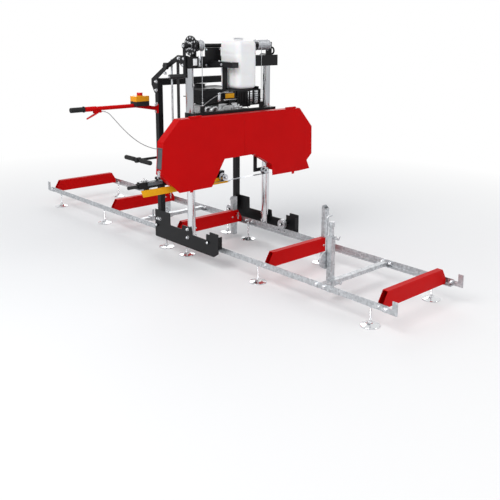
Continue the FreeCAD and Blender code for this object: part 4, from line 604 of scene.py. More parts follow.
# %% Axle caps
def dome(radius, base, rises, name, look):
    """Low dome standing along +Z on the origin, made by insets that rise less and less."""
    rod("z", origin, radius, base, 24)
    pick(lambda middle, normal: normal.z > 0.9)
    steps((0, 0, 1), rises)
    return raised(settle(name, look, 60), base / 2)


axle_height = 197.0
cap_model = dome(10.5, 3.0, ((0.8, 2.0), (1.8, 1.8), (2.4, 1.2), (2.4, 0.5)), "cap_model", chrome)
cap_spots = []
for place in (-165.0, 452.0):
    for side in (-1, 1):
        cap_spots.append(((place, side * 402.0, axle_height), (0, side, 0)))
        cap_spots.append(((place, side * 305.3, axle_height), (0, -side, 0)))
scatter(cap_model, "axle_caps", cap_spots, "carriage")
bpy.data.objects.remove(cap_model)

# %% [markdown]
# The index wheel has a bright hub ring with four bolts. The ring is a disc whose near face is stepped into
# a rim, a groove and a boss. Bright discs mark the wheel's twelve holes, so that they read from afar. On the
# real wheel the holes are open for the index pin, and these discs close them.

# %% Index wheel hub
index_face = -352.0
winch_height = 1543.0
near_way = (0, -1, 0)
rod("y", (post_place, index_face - 2.0, winch_height), 24.0, 4.0, 40)
pick(lambda middle, normal: normal.y < -0.9)
steps((0, 1, 0), ((2.0, -1.0), (4.0, 0.0), (1.0, 2.0), (4.0, 0.0), (1.0, -3.0)))
hub_ring = settle("index_hub_ring", bright_zinc, 30)
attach(hub_ring, "winch")
hub_bolts = circle(0, (post_place, index_face, winch_height), 34.0, (45, 135, 225, 315), near_way)
scatter(bolt_6, "index_hub_bolts", hub_bolts, "winch")
bush_model = dome(7.0, 0.8, ((0.8, 0.3), (2.0, -0.8)), "bush_model", bright_zinc)
bush_spots = circle(0, (post_place, index_face - 0.1, winch_height), 56.0, range(0, 360, 30), near_way)
scatter(bush_model, "index_bushes", bush_spots, "winch")
bpy.data.objects.remove(bush_model)
shaft_bolt = scatter(bolt_12, "crank_bolt", [((post_place, -410.0, winch_height), near_way)], "winch")
grip_bolt = scatter(bolt_8, "crank_grip_bolt", [((post_place, -528.5, 1338.0), near_way)], "crank_grip")

# %% [markdown]
# A star knob on the outside of the slanted plate locks the depth rod. Seen from its end it has six
# fingers. It starts as a disc of 36 sides, and the sides between the fingers are pulled inward.


# %% Star knobs
def star_knob(name, place, direction, radius, depth, look, fingers=6):
    """Moulded knob with fingers, standing on a drawing place along a direction."""
    def waist(vert):
        turn = math.atan2(vert.co.y, vert.co.x)
        narrow(vert, 1.0 - 0.17 * (0.5 - 0.5 * math.cos(turn * fingers)))

    rod("z", origin, radius, depth, fingers * 6)
    reshape(waist)
    pick(lambda middle, normal: normal.z > 0.9)
    steps((0, 0, 1), ((radius * 0.12, depth * 0.12), (radius * 0.3, -depth * 0.06)))
    return aimed(raised(settle(name, look, 40), depth / 2), place, direction)


def knob_neck(name, place, direction, radius, length, look):
    """Stepped neck between a knob and the face it stands on."""
    rod("z", origin, radius, length, 20)
    pick(lambda middle, normal: normal.z < -0.9)
    bpy.ops.mesh.inset(thickness=radius * 0.15 * mm)
    bpy.ops.mesh.extrude_region_move(TRANSFORM_OT_translate={"value": (0, 0, -0.5 * mm)})
    return aimed(raised(settle(name, look, 40), length / 2), place, direction)


rod_knob_parts = [star_knob("rod_knob", (30.0, -411.0, 1398.0), near_way, 26.0, 22.0, black_plastic),
                  knob_neck("rod_knob_neck", (30.0, -395.0, 1398.0), near_way, 11.0, 16.0, black_plastic)]
union(rod_knob_parts, "depth_rod_knob", "carriage")

# %% [markdown]
# A small white plate sits on the front of the top beam, held by two rivets. It is left bare.

# %% Bare plate on the beam
beam_plate = block((252.2, -352.0, 1410.0), (253.4, -318.0, 1456.0), 0.5, 2, "bare_plate", white_plastic)
rivet = dome(2.6, 0.6, ((0.6, 0.6), (0.8, 0.3)), "rivet", bright_zinc)
rivets = scatter(rivet, "plate_rivets", [((253.3, -335.0, height), (1, 0, 0))
                                         for height in (1414.0, 1452.0)], "carriage")
union([beam_plate, rivets], "beam_plate", "carriage")
bpy.data.objects.remove(rivet)

# %% [markdown]
# The rubber grip has a flange at its inner end and shallow rings along it. It is a rod cut into rings by
# subdividing its long edges, and every third ring is drawn in a little.


# %% Ringed grips
def ringed(length, radius, rings, depth, name, look):
    """Grip along +Z from the origin with shallow rings and rounded ends."""
    def draw_in(vert):
        ring_number = round((vert.co.z / (length * mm) + 0.5) * 3 * rings)
        draw = 1.0 - (depth / radius if ring_number % 3 == 1 else 0.0)
        narrow(vert, draw * (0.9 if ring_number in (0, 3 * rings) else 1.0))

    rod("z", (0, origin[1], length / 2), radius, length, 28)
    pick_edges(lambda a, b: abs(a.z - b.z) > length * mm / 2)
    bpy.ops.mesh.subdivide(number_cuts=3 * rings - 1)
    reshape(draw_in)
    return settle(name, look, 45)


grip = aimed(ringed(99.4, 17.5, 14, 1.2, "grip_body", rubber), (-134.0, -978.3, 1116.0), near_way)
rod("y", (-134.0, -981.0, 1116.0), 21.0, 5.0, 32)
pick(lambda middle, normal: abs(normal.y) > 0.9)
bpy.ops.mesh.inset(thickness=1.5 * mm)
rubber_grip = union([grip, settle("grip_flange", rubber, 35)], "rubber_grip", "carriage")
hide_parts("handle_grip")
crank_turned = aimed(ringed(123.7, 17.0, 9, 0.9, "crank_grip_body", black_plastic),
                     (post_place, -406.3, 1338.0), near_way)
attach(crank_turned, "crank_grip")
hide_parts("crank_grip")

# %% [markdown]
# The water can is blow-moulded: every edge is round, the walls swell a little between the corners, and the
# top has two hollows beside the middle, where the handle and the filler rise. It starts as a finely
# divided cube. Each vertex is pulled to a rounded box, then the hollows and two shallow ribs are added.

# %% Water can
can_low = Vector((285.0, -150.0, 1250.0))
can_high = Vector((490.0, 30.0, 1585.0))
can_round = Vector((38.0, 38.0, 30.0))
clear()
bpy.ops.mesh.primitive_cube_add(size=2.0, location=(0, 0, 0))
bpy.ops.object.mode_set(mode="EDIT")
bpy.ops.mesh.subdivide(number_cuts=39)
shape = bmesh.from_edit_mesh(bpy.context.object.data)
can_middle = (can_low + can_high) / 2
can_half = (can_high - can_low) / 2
for vert in shape.verts:
    place = Vector([vert.co[i] * can_half[i] for i in range(3)])
    core = Vector([max(-can_half[i] + can_round[i], min(can_half[i] - can_round[i], place[i]))
                   for i in range(3)])
    out = Vector([(place[i] - core[i]) / can_round[i] for i in range(3)])
    if out.length > 0:
        out.normalize()
    place = Vector([core[i] + out[i] * can_round[i] for i in range(3)])
    up_share = (place.z + can_half.z) / (2 * can_half.z)
    if up_share > 0.9:
        across = place.y / can_half.y
        place.z -= 7.0 * math.exp(-((abs(across) - 0.42) / 0.16) ** 2) * (up_share - 0.9) / 0.1
    for rib in (0.30, 0.72):
        pull = 2.2 * math.exp(-((up_share - rib) / 0.012) ** 2)
        place.x -= math.copysign(pull, place.x) * min(1.0, abs(place.x) / can_half.x * 1.1)
        place.y -= math.copysign(pull, place.y) * min(1.0, abs(place.y) / can_half.y * 1.1)
    vert.co = place * mm
bmesh.update_edit_mesh(bpy.context.object.data)
can_body = settle("can_body", milky_plastic, 60)
can_body.data.transform(Matrix.Translation(spot(*can_middle)))
rod("z", (387.5, -60.0, 1586.5), 26.0, 21.0, 40)
pick(lambda middle, normal: normal.z > 0.9)
steps((0, 0, 1), [(2.0, -1.0)])
can_neck = settle("can_neck", milky_plastic, 40)
water_can = union([can_body, can_neck], "water_can", "carriage")
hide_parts("water_tank")
print("can faces", len(water_can.data.polygons))

# %% [markdown]
# The caps are turned in steps and gripped by upright ribs. A ribbed ring is a cylinder of many sides whose
# alternate upright sides are pulled in.


# %% Ribbed rings
def ribbed(place, radius, low, high, ribs, depth, name, look):
    """Upright ring of ribs between two heights, round a drawing place, with a flat top."""
    def draw_in(vert):
        turn = math.atan2(vert.co.y, vert.co.x)
        if round((turn / (2 * math.pi)) * ribs * 4) % 4 in (0, 1):
            narrow(vert, 1 - depth / radius)

    rod("z", (place[0], place[1], (low + high) / 2), radius, high - low, ribs * 4)
    reshape(draw_in)
    pick(lambda middle, normal: normal.z > 0.9)
    steps((0, 0, 1), ((depth * 1.5, -depth * 0.6), (radius * 0.25, depth * 0.5)))
    return settle(name, look, 30)


tank_lid = ribbed((387.5, -60.0), 32.0, 1585.8, 1598.0, 30, 1.4, "water_lid", white_plastic)
fuel_lid = ribbed((20.0, -120.0), 40.0, 1235.8, 1258.8, 24, 2.2, "fuel_lid", black_plastic)
for lid, node, slot in ((tank_lid, "water_cap", "white_plastic"), (fuel_lid, "fuel_cap", "black_plastic")):
    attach(lid, node)
    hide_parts(node)

# %% [markdown]
# The lift ropes are six strands laid round each other. A tube of 18 sides is divided along its length and
# its section, a ring of six lobes, is turned a little more at each step.

# %% Lift ropes
rope_pieces = []
for side in (-1, 1):
    rod("z", (257.0, side * 278.0, 1334.0), 2.5, 417.8, 18)
    shape = edit_shape("EDGE")
    for edge in shape.edges:
        edge.select = abs(edge.verts[0].co.z - edge.verts[1].co.z) > 0.2
    bmesh.update_edit_mesh(bpy.context.object.data)
    bpy.ops.mesh.subdivide(number_cuts=139)
    shape = bmesh.from_edit_mesh(bpy.context.object.data)
    for vert in shape.verts:
        reach = math.hypot(vert.co.x, vert.co.y)
        if reach > 0:
            turn = math.atan2(vert.co.y, vert.co.x)
            lobe = 2.5 - 0.45 * (0.5 - 0.5 * math.cos(6 * turn))
            twist = turn + vert.co.z * 150.0
            vert.co.x = lobe * mm * math.cos(twist)
            vert.co.y = lobe * mm * math.sin(twist)
    bmesh.update_edit_mesh(bpy.context.object.data)
    rope_pieces.append(settle("rope_%d" % side, wire_rope, 60))
hoist_ropes = joined(rope_pieces, "hoist_ropes")
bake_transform(hoist_ropes)
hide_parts("lift_ropes")

# %% [markdown]
# Where each rope meets its lug it is doubled back and held by a clamp, and a turn of rope lies on each
# drum. A turn is a ring swept round the drum; eight rings side by side read as a wound rope.

# %% Rope clamps and turns on the drums
clamp_pieces = []
for side in (-1, 1):
    for height in (1131.0, 1150.0):
        slab((251.8, side * 278.0 - 6.0, height - 4.0), (262.2, side * 278.0 + 6.0, height + 4.0), 1.6, 3)
        clamp_pieces.append(settle("clamp_%d_%d" % (side, height), bright_zinc, 40))
union(clamp_pieces, "rope_clamps", "head")
turn_pieces = []
for start, end in ((-296.0, -260.0), (253.0, 367.0)):
    count = int((end - start) / 5.3)
    for number in range(count):
        across = start + 2.6 + number * (end - start) / count
        ring((post_place, across, winch_height), 35.0, 2.55, 40, 8, (math.pi / 2, 0, 0))
        turn_pieces.append(settle("turn", wire_rope, 60))
union(turn_pieces, "drum_ropes", "winch")
print("rope turns", len(turn_pieces))

# %% [markdown]
# The throttle cable hangs from the lever to the engine. Its line is a smooth curve led by the same points
# as in the drawings. The round sleeve is swept along it.

# %% Throttle cable
cable_route = (
    (-134, -850, 1094), (-134, -806, 1094), (-132, -752, 1034), (-129, -694, 968),
    (-126, -630, 904), (-121, -560, 848), (-110, -484, 807), (-84, -408, 785), (-34, -344, 797),
    (22, -296, 838), (72, -266, 900), (112, -252, 972), (148, -246, 1048), (184, -226, 1114),
    (197, -164, 1158), (197, -88, 1190), (183, -22, 1210), (183, 20, 1210),
)
cable_radius = 3.0


def smooth_curve(name, points, radius, fineness, rounding):
    """Smooth curve led by drawing places, with a round section when the radius is above zero."""
    data = bpy.data.curves.new(name, "CURVE")
    data.dimensions = "3D"
    line = data.splines.new("NURBS")
    line.points.add(len(points) - 1)
    for point, place in zip(line.points, points):
        point.co = (*spot(*place), 1.0)
    line.order_u = 3
    line.use_endpoint_u = True
    line.resolution_u = fineness
    data.bevel_depth = radius * mm
    data.bevel_resolution = rounding
    data.use_fill_caps = True
    curve = bpy.data.objects.new(name, data)
    bpy.context.scene.collection.objects.link(curve)
    bpy.context.view_layer.update()
    return curve


def meshed(curve, name, look):
    """Turns a curve into a smooth piece."""
    piece = bpy.data.objects.new(name, bpy.data.meshes.new_from_object(curve))
    bpy.context.scene.collection.objects.link(piece)
    bpy.data.objects.remove(curve)
    piece.data.materials.clear()
    piece.data.materials.append(look)
    piece.data.shade_smooth()
    return piece


bare_line = smooth_curve("bare_line", cable_route, 0.0, 8, 3)
round_line = smooth_curve("round_line", cable_route, cable_radius, 8, 3)
line_mesh = bpy.data.meshes.new_from_object(bare_line)
bpy.data.objects.remove(bare_line)
control_cable = meshed(round_line, "control_cable", cable_plastic)
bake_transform(control_cable)
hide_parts("throttle_cable")

# %% [markdown]
# The band is a thin strip of steel with hooked teeth on its front edge. It starts as an open cylinder of
# four sides to a tooth. Each upright line of vertices is moved to its place along the loop round both
# wheels, and the front ones follow the tooth's outline. A solidify modifier gives the strip its gauge.

# %% Toothed band
wheel_line = 457.0
wheel_height = 815.0
band_radius = 218.85
tooth_count = 145
tooth_outline = (0.0, 4.0, 6.0, 2.5)
arc = math.pi * band_radius
run = 2 * wheel_line
clear()
bpy.ops.mesh.primitive_cylinder_add(vertices=tooth_count * 4, radius=1.0, depth=2.0,
                                    end_fill_type="NOTHING", location=(0, 0, 0))
bpy.ops.object.mode_set(mode="EDIT")
shape = bmesh.from_edit_mesh(bpy.context.object.data)
for vert in shape.verts:
    front = vert.co.z > 0
    number = round(math.atan2(vert.co.y, vert.co.x) / (2 * math.pi) * tooth_count * 4) % (tooth_count * 4)
    along = number / (tooth_count * 4) * 2 * (arc + run)
    if along < run:
        across, height = wheel_line - along, wheel_height + band_radius
    elif along < run + arc:
        turn = math.pi / 2 + (along - run) / band_radius
        across = -wheel_line + band_radius * math.cos(turn)
        height = wheel_height + band_radius * math.sin(turn)
    elif along < 2 * run + arc:
        across, height = -wheel_line + along - run - arc, wheel_height - band_radius
    else:
        turn = -math.pi / 2 + (along - 2 * run - arc) / band_radius
        across = wheel_line + band_radius * math.cos(turn)
        height = wheel_height + band_radius * math.sin(turn)
    reach = 381.9 - tooth_outline[number % 4] if front else 350.1
    vert.co = spot(reach, across, height)
bmesh.update_edit_mesh(bpy.context.object.data)
bpy.ops.mesh.select_all(action="SELECT")
bpy.ops.mesh.normals_make_consistent(inside=False)
bpy.ops.object.mode_set(mode="OBJECT")
gauge = bpy.context.object.modifiers.new("gauge", "SOLIDIFY")
gauge.thickness = 1.0 * mm
gauge.offset = 0.0
bpy.ops.object.modifier_apply(modifier="gauge")
toothed_band = settle("toothed_band", band_steel, 25)
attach(toothed_band, "head")
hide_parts("saw_band")
print("band teeth", tooth_count)

# %% [markdown]
# On the operator's end of the guard the tension opening lies in shade. A dark grey sheet with a rim is put
# in it as painted shade, and a bright toggle latch under it holds the door. The sheet follows the guard's
# slanted end, so its vertices lean with it.


# %% Painted shade in the guard's end opening, and the latch
def lean(piece, low_height, low_line, high_height, high_line):
    """Shifts a piece across the track so that it follows a slanted face from one height to another."""
    for vert in piece.data.vertices:
        share = (vert.co.z / mm - low_height) / (high_height - low_height)
        vert.co.y += (low_line + share * (high_line - low_line)) * mm


guard_slope = (713.8, -733.0, 930.8, -714.5)
# Painted shade: a dark grey sheet and rim fill the guard's shaded end opening.
slab((344.0, -3.0, 752.0), (395.0, -0.2, 890.0), 1.2, 3)
pick(lambda middle, normal: normal.y < -0.9)
steps((0, 1, 0), [(5.0, 1.6)])
shade_sheet = settle("painted_shade_sheet", grey_coat, 30)
lean(shade_sheet, *guard_slope)
shade_rim = block((342.0, -7.0, 886.0), (397.0, -0.2, 892.0), 1.2, 3, "painted_shade_rim", grey_coat)
lean(shade_rim, *guard_slope)
union([shade_sheet, shade_rim], "guard_opening_painted_shade", "head")
latch_parts = []
for low, high, edge in (((360.0, -3.2, 700.0), (384.0, -0.2, 742.0), 1.0),
                        ((364.0, -8.5, 716.0), (380.0, -3.0, 738.0), 2.0),
                        ((367.0, -12.0, 690.0), (377.0, -8.0, 732.0), 2.0)):
    part = block(low, high, edge, 3, "latch_part", bright_zinc, 35)
    lean(part, *guard_slope)
    latch_parts.append(part)
rod("x", (372.0, -9.0, 734.0), 3.0, 22.0, 20)
latch_pin = settle("latch_pin", bright_zinc, 35)
lean(latch_pin, *guard_slope)
union(latch_parts + [latch_pin], "guard_latch", "head")

# %% [markdown]
# The guide arm's near end carries a grey slide plate, clamp bolts, a lock knob and a ribbed handle, all
# bolted on top of the square bar.

# %% Guide arm's clamp and handle
slide_plate = block((291.0, -796.0, 660.1), (336.5, -684.0, 664.0), 0.8, 3, "slide_plate", grey_coat)
slide_edge = block((327.0, -796.0, 642.0), (337.6, -684.0, 660.5), 0.8, 3, "slide_edge", grey_coat)
union([slide_plate, slide_edge], "arm_slide_plate", "guide_arm")
arm_bolts = scatter(nut_8, "arm_bolts", [((300.0, -788.0, 667.5), (0, 0, 1)),
                                         ((320.0, -788.0, 667.5), (0, 0, 1)),
                                         ((300.0, -826.0, 667.0), (0, 0, 1)),
                                         ((316.0, -842.0, 667.0), (0, 0, 1))], "guide_arm")
ring((308.0, -812.0, 681.0), 8.0, 2.4, 36, 10, (0, math.pi / 2, math.radians(30)))
eye_parts = [settle("eye_ring", bright_zinc, 60),
             knob_neck("eye_shank", (308.0, -812.0, 667.0), (0, 0, 1), 4.0, 7.0, bright_zinc)]
union(eye_parts, "arm_eye", "guide_arm")
lock_neck = knob_neck("arm_lock_neck", (306.0, -706.0, 664.0), (0, 0, 1), 7.0, 8.0, black_plastic)
lock_knob = star_knob("arm_lock_star", (306.0, -706.0, 671.0), (0, 0, 1), 15.0, 15.0, black_plastic)
union([lock_neck, lock_knob], "arm_lock_knob", "guide_arm")
arm_grip = aimed(ringed(70.0, 12.0, 9, 1.0, "arm_grip", black_plastic), (308.0, -864.0, 642.0), near_way)
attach(arm_grip, "guide_arm")

# %% [markdown]
# The tension screw has a hub, a cross bar and two ribbed grips. The screw itself is turned with a thread.

# %% Tension handle
screw = aimed(threaded(origin, 9.0, 336.0, 6.0, "tension_screw", black_coat, 20),
              (287.0, -650.0, 815.0), near_way)
hub = aimed(ringed(40.0, 18.0, 3, 2.0, "tension_hub", black_coat), (287.0, -818.0, 815.0), near_way)
rod("x", (287.0, -838.0, 815.0), 8.0, 284.0, 24)
pick(lambda middle, normal: abs(normal.x) > 0.9)
bpy.ops.mesh.inset(thickness=1.0 * mm)
cross = settle("tension_bar", black_coat, 35)
grips = []
for way in (-1, 1):
    grips.append(aimed(ringed(111.0, 15.0, 12, 1.0, "tension_grip", rubber),
                       (287.0 + way * 33.5, -838.0, 815.0), (way, 0, 0)))
t_handle = union([screw, hub, cross] + grips, "t_handle", "tension_handle")
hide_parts("tension_handle")

# %% [markdown]
# Bolts hold the two guide rollers, the sleeves' flanges and the engine plate.

# %% Head bolts
roller_bolts = scatter(bolt_8, "roller_bolts_far", [((389.0, 225.0, 621.0), (1, 0, 0))], "head")
arm_roller = scatter(bolt_8, "roller_bolts_near", [((389.0, -175.0, 621.0), (1, 0, 0))], "guide_arm")
head_spots = []
for side in (-1, 1):
    for height in (720.0, 770.0, 1020.0, 1065.0):
        head_spots.append(((185.5, side * 362.0, height), (-1, 0, 0)))
for place in (-185.0, -60.0, 60.0, 185.0):
    head_spots.append(((-60.0, place, 848.0), (0, 0, 1)))
scatter(bolt_8, "sleeve_bolts", head_spots, "head")

# %% [markdown]
# The engine's rear can't be seen in the photograph. A recoil starter is guessed there: a domed cover with
# cooling slots and a pull grip. The dome is a disc whose face is inset and raised in steps, and the slots
# are sunk faces of one ring.

# %% Recoil starter
rod("x", (-101.0, 60.0, 985.0), 118.0, 6.0, 72)
pick(lambda middle, normal: normal.x < -0.9)
steps((-1, 0, 0), ((4.0, 4.0), (10.0, 3.0), (3.0, 1.0), (34.0, 1.0), (4.0, 1.0)))
pick(lambda middle, normal: normal.x < -0.6 and 0.070 < middle.yz.length < 0.098
     and round(math.degrees(math.atan2(middle.z, middle.y)) / 5.0) % 3 != 0)
bpy.ops.mesh.inset(thickness=1.2 * mm, use_individual=False)
bpy.ops.transform.translate(value=(5.0 * mm, 0, 0))
recoil = settle("recoil_cover", black_plastic, 30)
pull_grip = ringed(52.0, 9.0, 5, 1.2, "pull_grip", rubber)
pull_grip.data.transform(Matrix.Translation(spot(-104.0, -52.0, 1072.0)))
rod("y", (-104.0, -52.0, 1098.0), 6.0, 12.0, 20)
pick(lambda middle, normal: abs(normal.y) > 0.9)
bpy.ops.mesh.inset(thickness=1.0 * mm)
pull_guide = settle("pull_guide", black_plastic, 30)
pull_foot = block((-112.0, -60.0, 1060.0), (-98.0, -27.0, 1074.0), 3.0, 3, "pull_foot", black_plastic)
union([recoil, pull_grip, pull_guide, pull_foot], "recoil_starter", "head")
scatter(bolt_6, "recoil_bolts", [((-101.0, 60.0 + 122.0 * math.cos(math.radians(turn)),
                                           985.0 + 122.0 * math.sin(math.radians(turn))), (-1, 0, 0))
                                         for turn in (20, 140, 260)], "head")

# %% [markdown]
# The air cleaner has a lid held by a knob. Six upright ribs, a slab each, stand on its face.

# %% Air cleaner lid
lid = block((-16.0, -190.0, 972.0), (126.0, -174.5, 1106.0), 6.0, 4, "lid_body", cast_alloy)
ribs = []
for number in range(6):
    left = 2.0 + number * 20.0
    ribs.append(block((left, -194.0, 990.0), (left + 9.0, -189.0, 1088.0), 2.0, 2, "lid_rib", cast_alloy))
lid_knob = star_knob("lid_star", (55.0, -194.0, 1039.0), (0, -1, 0), 15.0, 12.0, black_plastic, 5)
union([lid, lid_knob] + ribs, "air_lid", "head")

# %% [markdown]
# The side cover of the crankcase faces the belt. Six bolts hold it round the shaft, low webs cross its face,
# and an oil plug sits below. Four more bolts are on the engine's far side.

# %% Crankcase details
rod("x", (167.0, 60.0, 972.0), 88.0, 5.0, 64)
pick(lambda middle, normal: normal.x > 0.9)
steps((1, 0, 0), ((3.0, 3.0), (20.0, 1.0), (3.0, 5.0), (16.0, 0.0)))
side_cover = settle("side_cover_casting", cast_alloy, 30)
bosses = []
for turn in range(0, 360, 60):
    across = 60.0 + 80.0 * math.cos(math.radians(turn + 30))
    height = 972.0 + 80.0 * math.sin(math.radians(turn + 30))
    rod("x", (170.0, across, height), 9.0, 8.0, 20)
    pick(lambda middle, normal: normal.x > 0.9)
    steps((1, 0, 0), [(1.5, 1.0)])
    bosses.append(settle("boss", cast_alloy, 30))
webs = []
for turn in range(0, 180, 30):
    web = block((169.0, 60.0 - 78.0, 969.5), (173.5, 60.0 + 78.0, 974.5), 1.5, 2, "web", cast_alloy)
    pivot = Matrix.Translation(spot(171.0, 60.0, 972.0))
    web.data.transform(pivot @ Matrix.Rotation(math.radians(turn), 4, "X") @ pivot.inverted())
    webs.append(web)
engine_cover = union([side_cover] + bosses + webs, "engine_side_cover", "head")
cover_spots = [((174.5, 60.0 + 80.0 * math.cos(math.radians(turn + 30)),
                 972.0 + 80.0 * math.sin(math.radians(turn + 30))), (1, 0, 0))
               for turn in range(0, 360, 60)]
cover_spots += [((place, 287.0, height), (0, 1, 0)) for place in (-25.0, 140.0)
                for height in (955.0, 1040.0)]
scatter(bolt_6, "engine_bolts", cover_spots, "head")
plug_parts = [knob_neck("plug_neck", (140.0, -58.0, 878.0), (0, -1, 0), 14.0, 10.0, cast_alloy),
              star_knob("plug_star", (140.0, -67.0, 878.0), (0, -1, 0), 17.0, 9.0, black_plastic, 8)]
union(plug_parts, "oil_plug", "head")

# %% [markdown]
# The carburettor sits between the air cleaner and the cylinder, with its bowl below and a bright throttle
# plate above. The plug lead runs from the ignition to the cap on the cylinder's head.

# %% Carburettor, plug cap and lead
carb_parts = []
carb_parts.append(block((92.0, -58.0, 1020.0), (150.0, 60.0, 1074.0), 6.0, 3, "carb_body", cast_alloy))
rod("z", (172.0, -20.0, 1046.0), 19.0, 34.0, 32)
pick(lambda middle, normal: abs(normal.z) > 0.9)
for inward in (3.0, 6.0):
    bpy.ops.mesh.inset(thickness=inward * mm)
carb_parts.append(settle("carb_bowl", bright_zinc, 30))
carb_parts.append(block((166.0, -46.0, 1066.0), (192.0, 10.0, 1070.0), 1.0, 2, "carb_plate", bright_zinc))
union(carb_parts, "carburettor", "head")
cap_neck = knob_neck("plug_cap_neck", (52.0, 288.0, 1010.0), (0, 1, 0), 11.0, 14.0, rubber)
cap_ball = star_knob("plug_cap_ball", (52.0, 300.0, 1010.0), (0, 1, 0), 15.0, 18.0, rubber, 3)
union([cap_neck, cap_ball], "plug_cap", "head")
lead_points = ((52, 310, 1010), (52, 330, 1020), (52, 335, 1060), (40, 300, 1085), (20, 260, 1078),
               (-10, 230, 1076), (-35, 190, 1072))
plug_lead = meshed(smooth_curve("plug_lead", lead_points, 3.5, 6, 4), "ignition_lead", rubber)
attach(plug_lead, "head")

# %% [markdown]
# Between the tank and the guard the photograph has a bright, irregular region. These shapes are invented to
# give that look, and stand for no known part: two half rings, a row of thin slabs turned by 24 degrees, and
# four blocks.

# %% Castings under the tank
cast_parts = []
for place in ((150.0, -150.0, 1072.0), (160.0, -96.0, 1070.0)):
    ring(place, 28.0, 13.0, 40, 18, (0, math.pi / 2, 0))
    bpy.ops.object.transform_apply(location=False, rotation=True, scale=True)
    pick(lambda middle, normal: middle.z < -0.001)
    bpy.ops.mesh.delete(type="FACE")
    bpy.ops.mesh.select_all(action="SELECT")
    bpy.ops.mesh.fill_holes(sides=0)
    cast_parts.append(settle("pipe", cast_alloy, 50))
for number in range(7):
    fin = block((162.0, -44.0 + number * 12.0, 1040.0), (194.0, -38.0 + number * 12.0, 1112.0), 1.6, 2,
                "fin_end", cast_alloy)
    pivot = Matrix.Translation(spot(178.0, -41.0 + number * 12.0, 1076.0))
    fin.data.transform(pivot @ Matrix.Rotation(math.radians(-24), 4, "X") @ pivot.inverted())
    cast_parts.append(fin)
for low, high in (((160.0, 50.0, 1046.0), (190.0, 66.0, 1114.0)),
                  ((160.0, 78.0, 1062.0), (184.0, 118.0, 1100.0)),
                  ((150.0, 124.0, 1058.0), (176.0, 136.0, 1110.0)),
                  ((146.0, 142.0, 1050.0), (168.0, 172.0, 1092.0))):
    cast_parts.append(block(low, high, 5.0, 3, "casting", cast_alloy, 35))
union(cast_parts, "engine_castings", "head")
scatter(bolt_6, "casting_bolts", [((184.0, 90.0, 1090.0), (1, 0, 0)),
                                          ((184.0, 108.0, 1072.0), (1, 0, 0)),
                                          ((190.0, 58.0, 1104.0), (1, 0, 0)),
                                          ((168.0, 157.0, 1082.0), (1, 0, 0))], "head")

# %% [markdown]
# Beside the tank hangs the muffler's guard: black bars and rungs in two columns, over a bright sheet.

# %% Muffler guard
guard_parts = []
guard_parts.append(block((152.0, 222.0, 1098.0), (156.0, 352.0, 1204.0), 1.0, 2, "core_sheet", bright_zinc))
guard_parts.append(block((60.0, 261.0, 1100.0), (154.0, 351.0, 1202.0), 8.0, 3, "core_body", black_coat))
for low, high in (((150.0, 214.0, 1092.0), (163.0, 232.0, 1210.0)),
                  ((150.0, 284.0, 1092.0), (163.0, 296.0, 1210.0)),
                  ((150.0, 346.0, 1092.0), (163.0, 358.0, 1210.0)),
                  ((150.0, 216.0, 1200.0), (162.5, 356.0, 1211.0)),
                  ((150.0, 216.0, 1091.0), (162.5, 356.0, 1102.0))):
    guard_parts.append(block(low, high, 1.5, 2, "guard_bar", black_coat))
for number in range(1, 6):
    height = 1100.0 + number * 17.0
    guard_parts.append(block((154.0, 222.0, height - 2.0), (162.0, 354.0, height + 2.0), 0.8, 2,
                             "guard_rung", black_coat))
for low, high in (((58.0, 349.0, 1092.0), (163.0, 353.0, 1210.0)),
                  ((58.0, 262.0, 1206.0), (163.0, 353.0, 1210.0)),
                  ((58.0, 262.0, 1092.0), (163.0, 353.0, 1096.0))):
    guard_parts.append(block(low, high, 1.2, 2, "guard_wall", black_coat))
union(guard_parts, "muffler_guard", "head")

# %% [markdown]
# A narrow bright bracket and a framed bare plate sit on the front of the fuel tank, with the seam where
# its two pressings meet.

# %% Tank seam, bracket and bare plate
slab((-81.0, -196.0, 1162.0), (184.0, 118.0, 1168.0), 2.5, 3)
pick_edges(lambda a, b: abs(a.z - b.z) > 0.0009 and (a.xy - b.xy).length < 1e-6, ends=False)
bpy.ops.mesh.bevel(offset=30.0 * mm, segments=6, affect="EDGES")
tank_seam = settle("seam_band", black_coat, 35)
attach(tank_seam, "head")
plate_parts = []
plate_parts.append(block((186.2, -22.0, 1152.0), (189.0, 78.0, 1200.0), 1.0, 2, "plate_back", black_plastic))
plate_parts.append(block((188.6, -14.0, 1160.0), (190.2, 70.0, 1194.0), 0.6, 2, "plate_bare", yellow_coat))
for low, high in (((186.2, -30.0, 1147.0), (191.0, 92.0, 1150.5)),
                  ((186.2, -30.0, 1201.0), (191.0, 60.0, 1204.0))):
    plate_parts.append(block(low, high, 0.8, 2, "plate_rail", bright_zinc))
union(plate_parts, "tank_plate", "head")
bracket = block((178.2, -84.0, 1140.0), (189.2, -60.0, 1206.0), 0.8, 2,
                           "bracket_sheet", bright_zinc)
union([bracket], "tank_bracket", "head")
scatter(bolt_6, "bracket_bolts", [((189.0, -72.0, 1150.0), (1, 0, 0)),
                                          ((189.0, -72.0, 1196.0), (1, 0, 0))], "head")

# %% [markdown]
# Bolts on the track's sockets, bunks and end stops. They are a guess, too small to see in the photograph.
# The heads are the same model bolts as before.

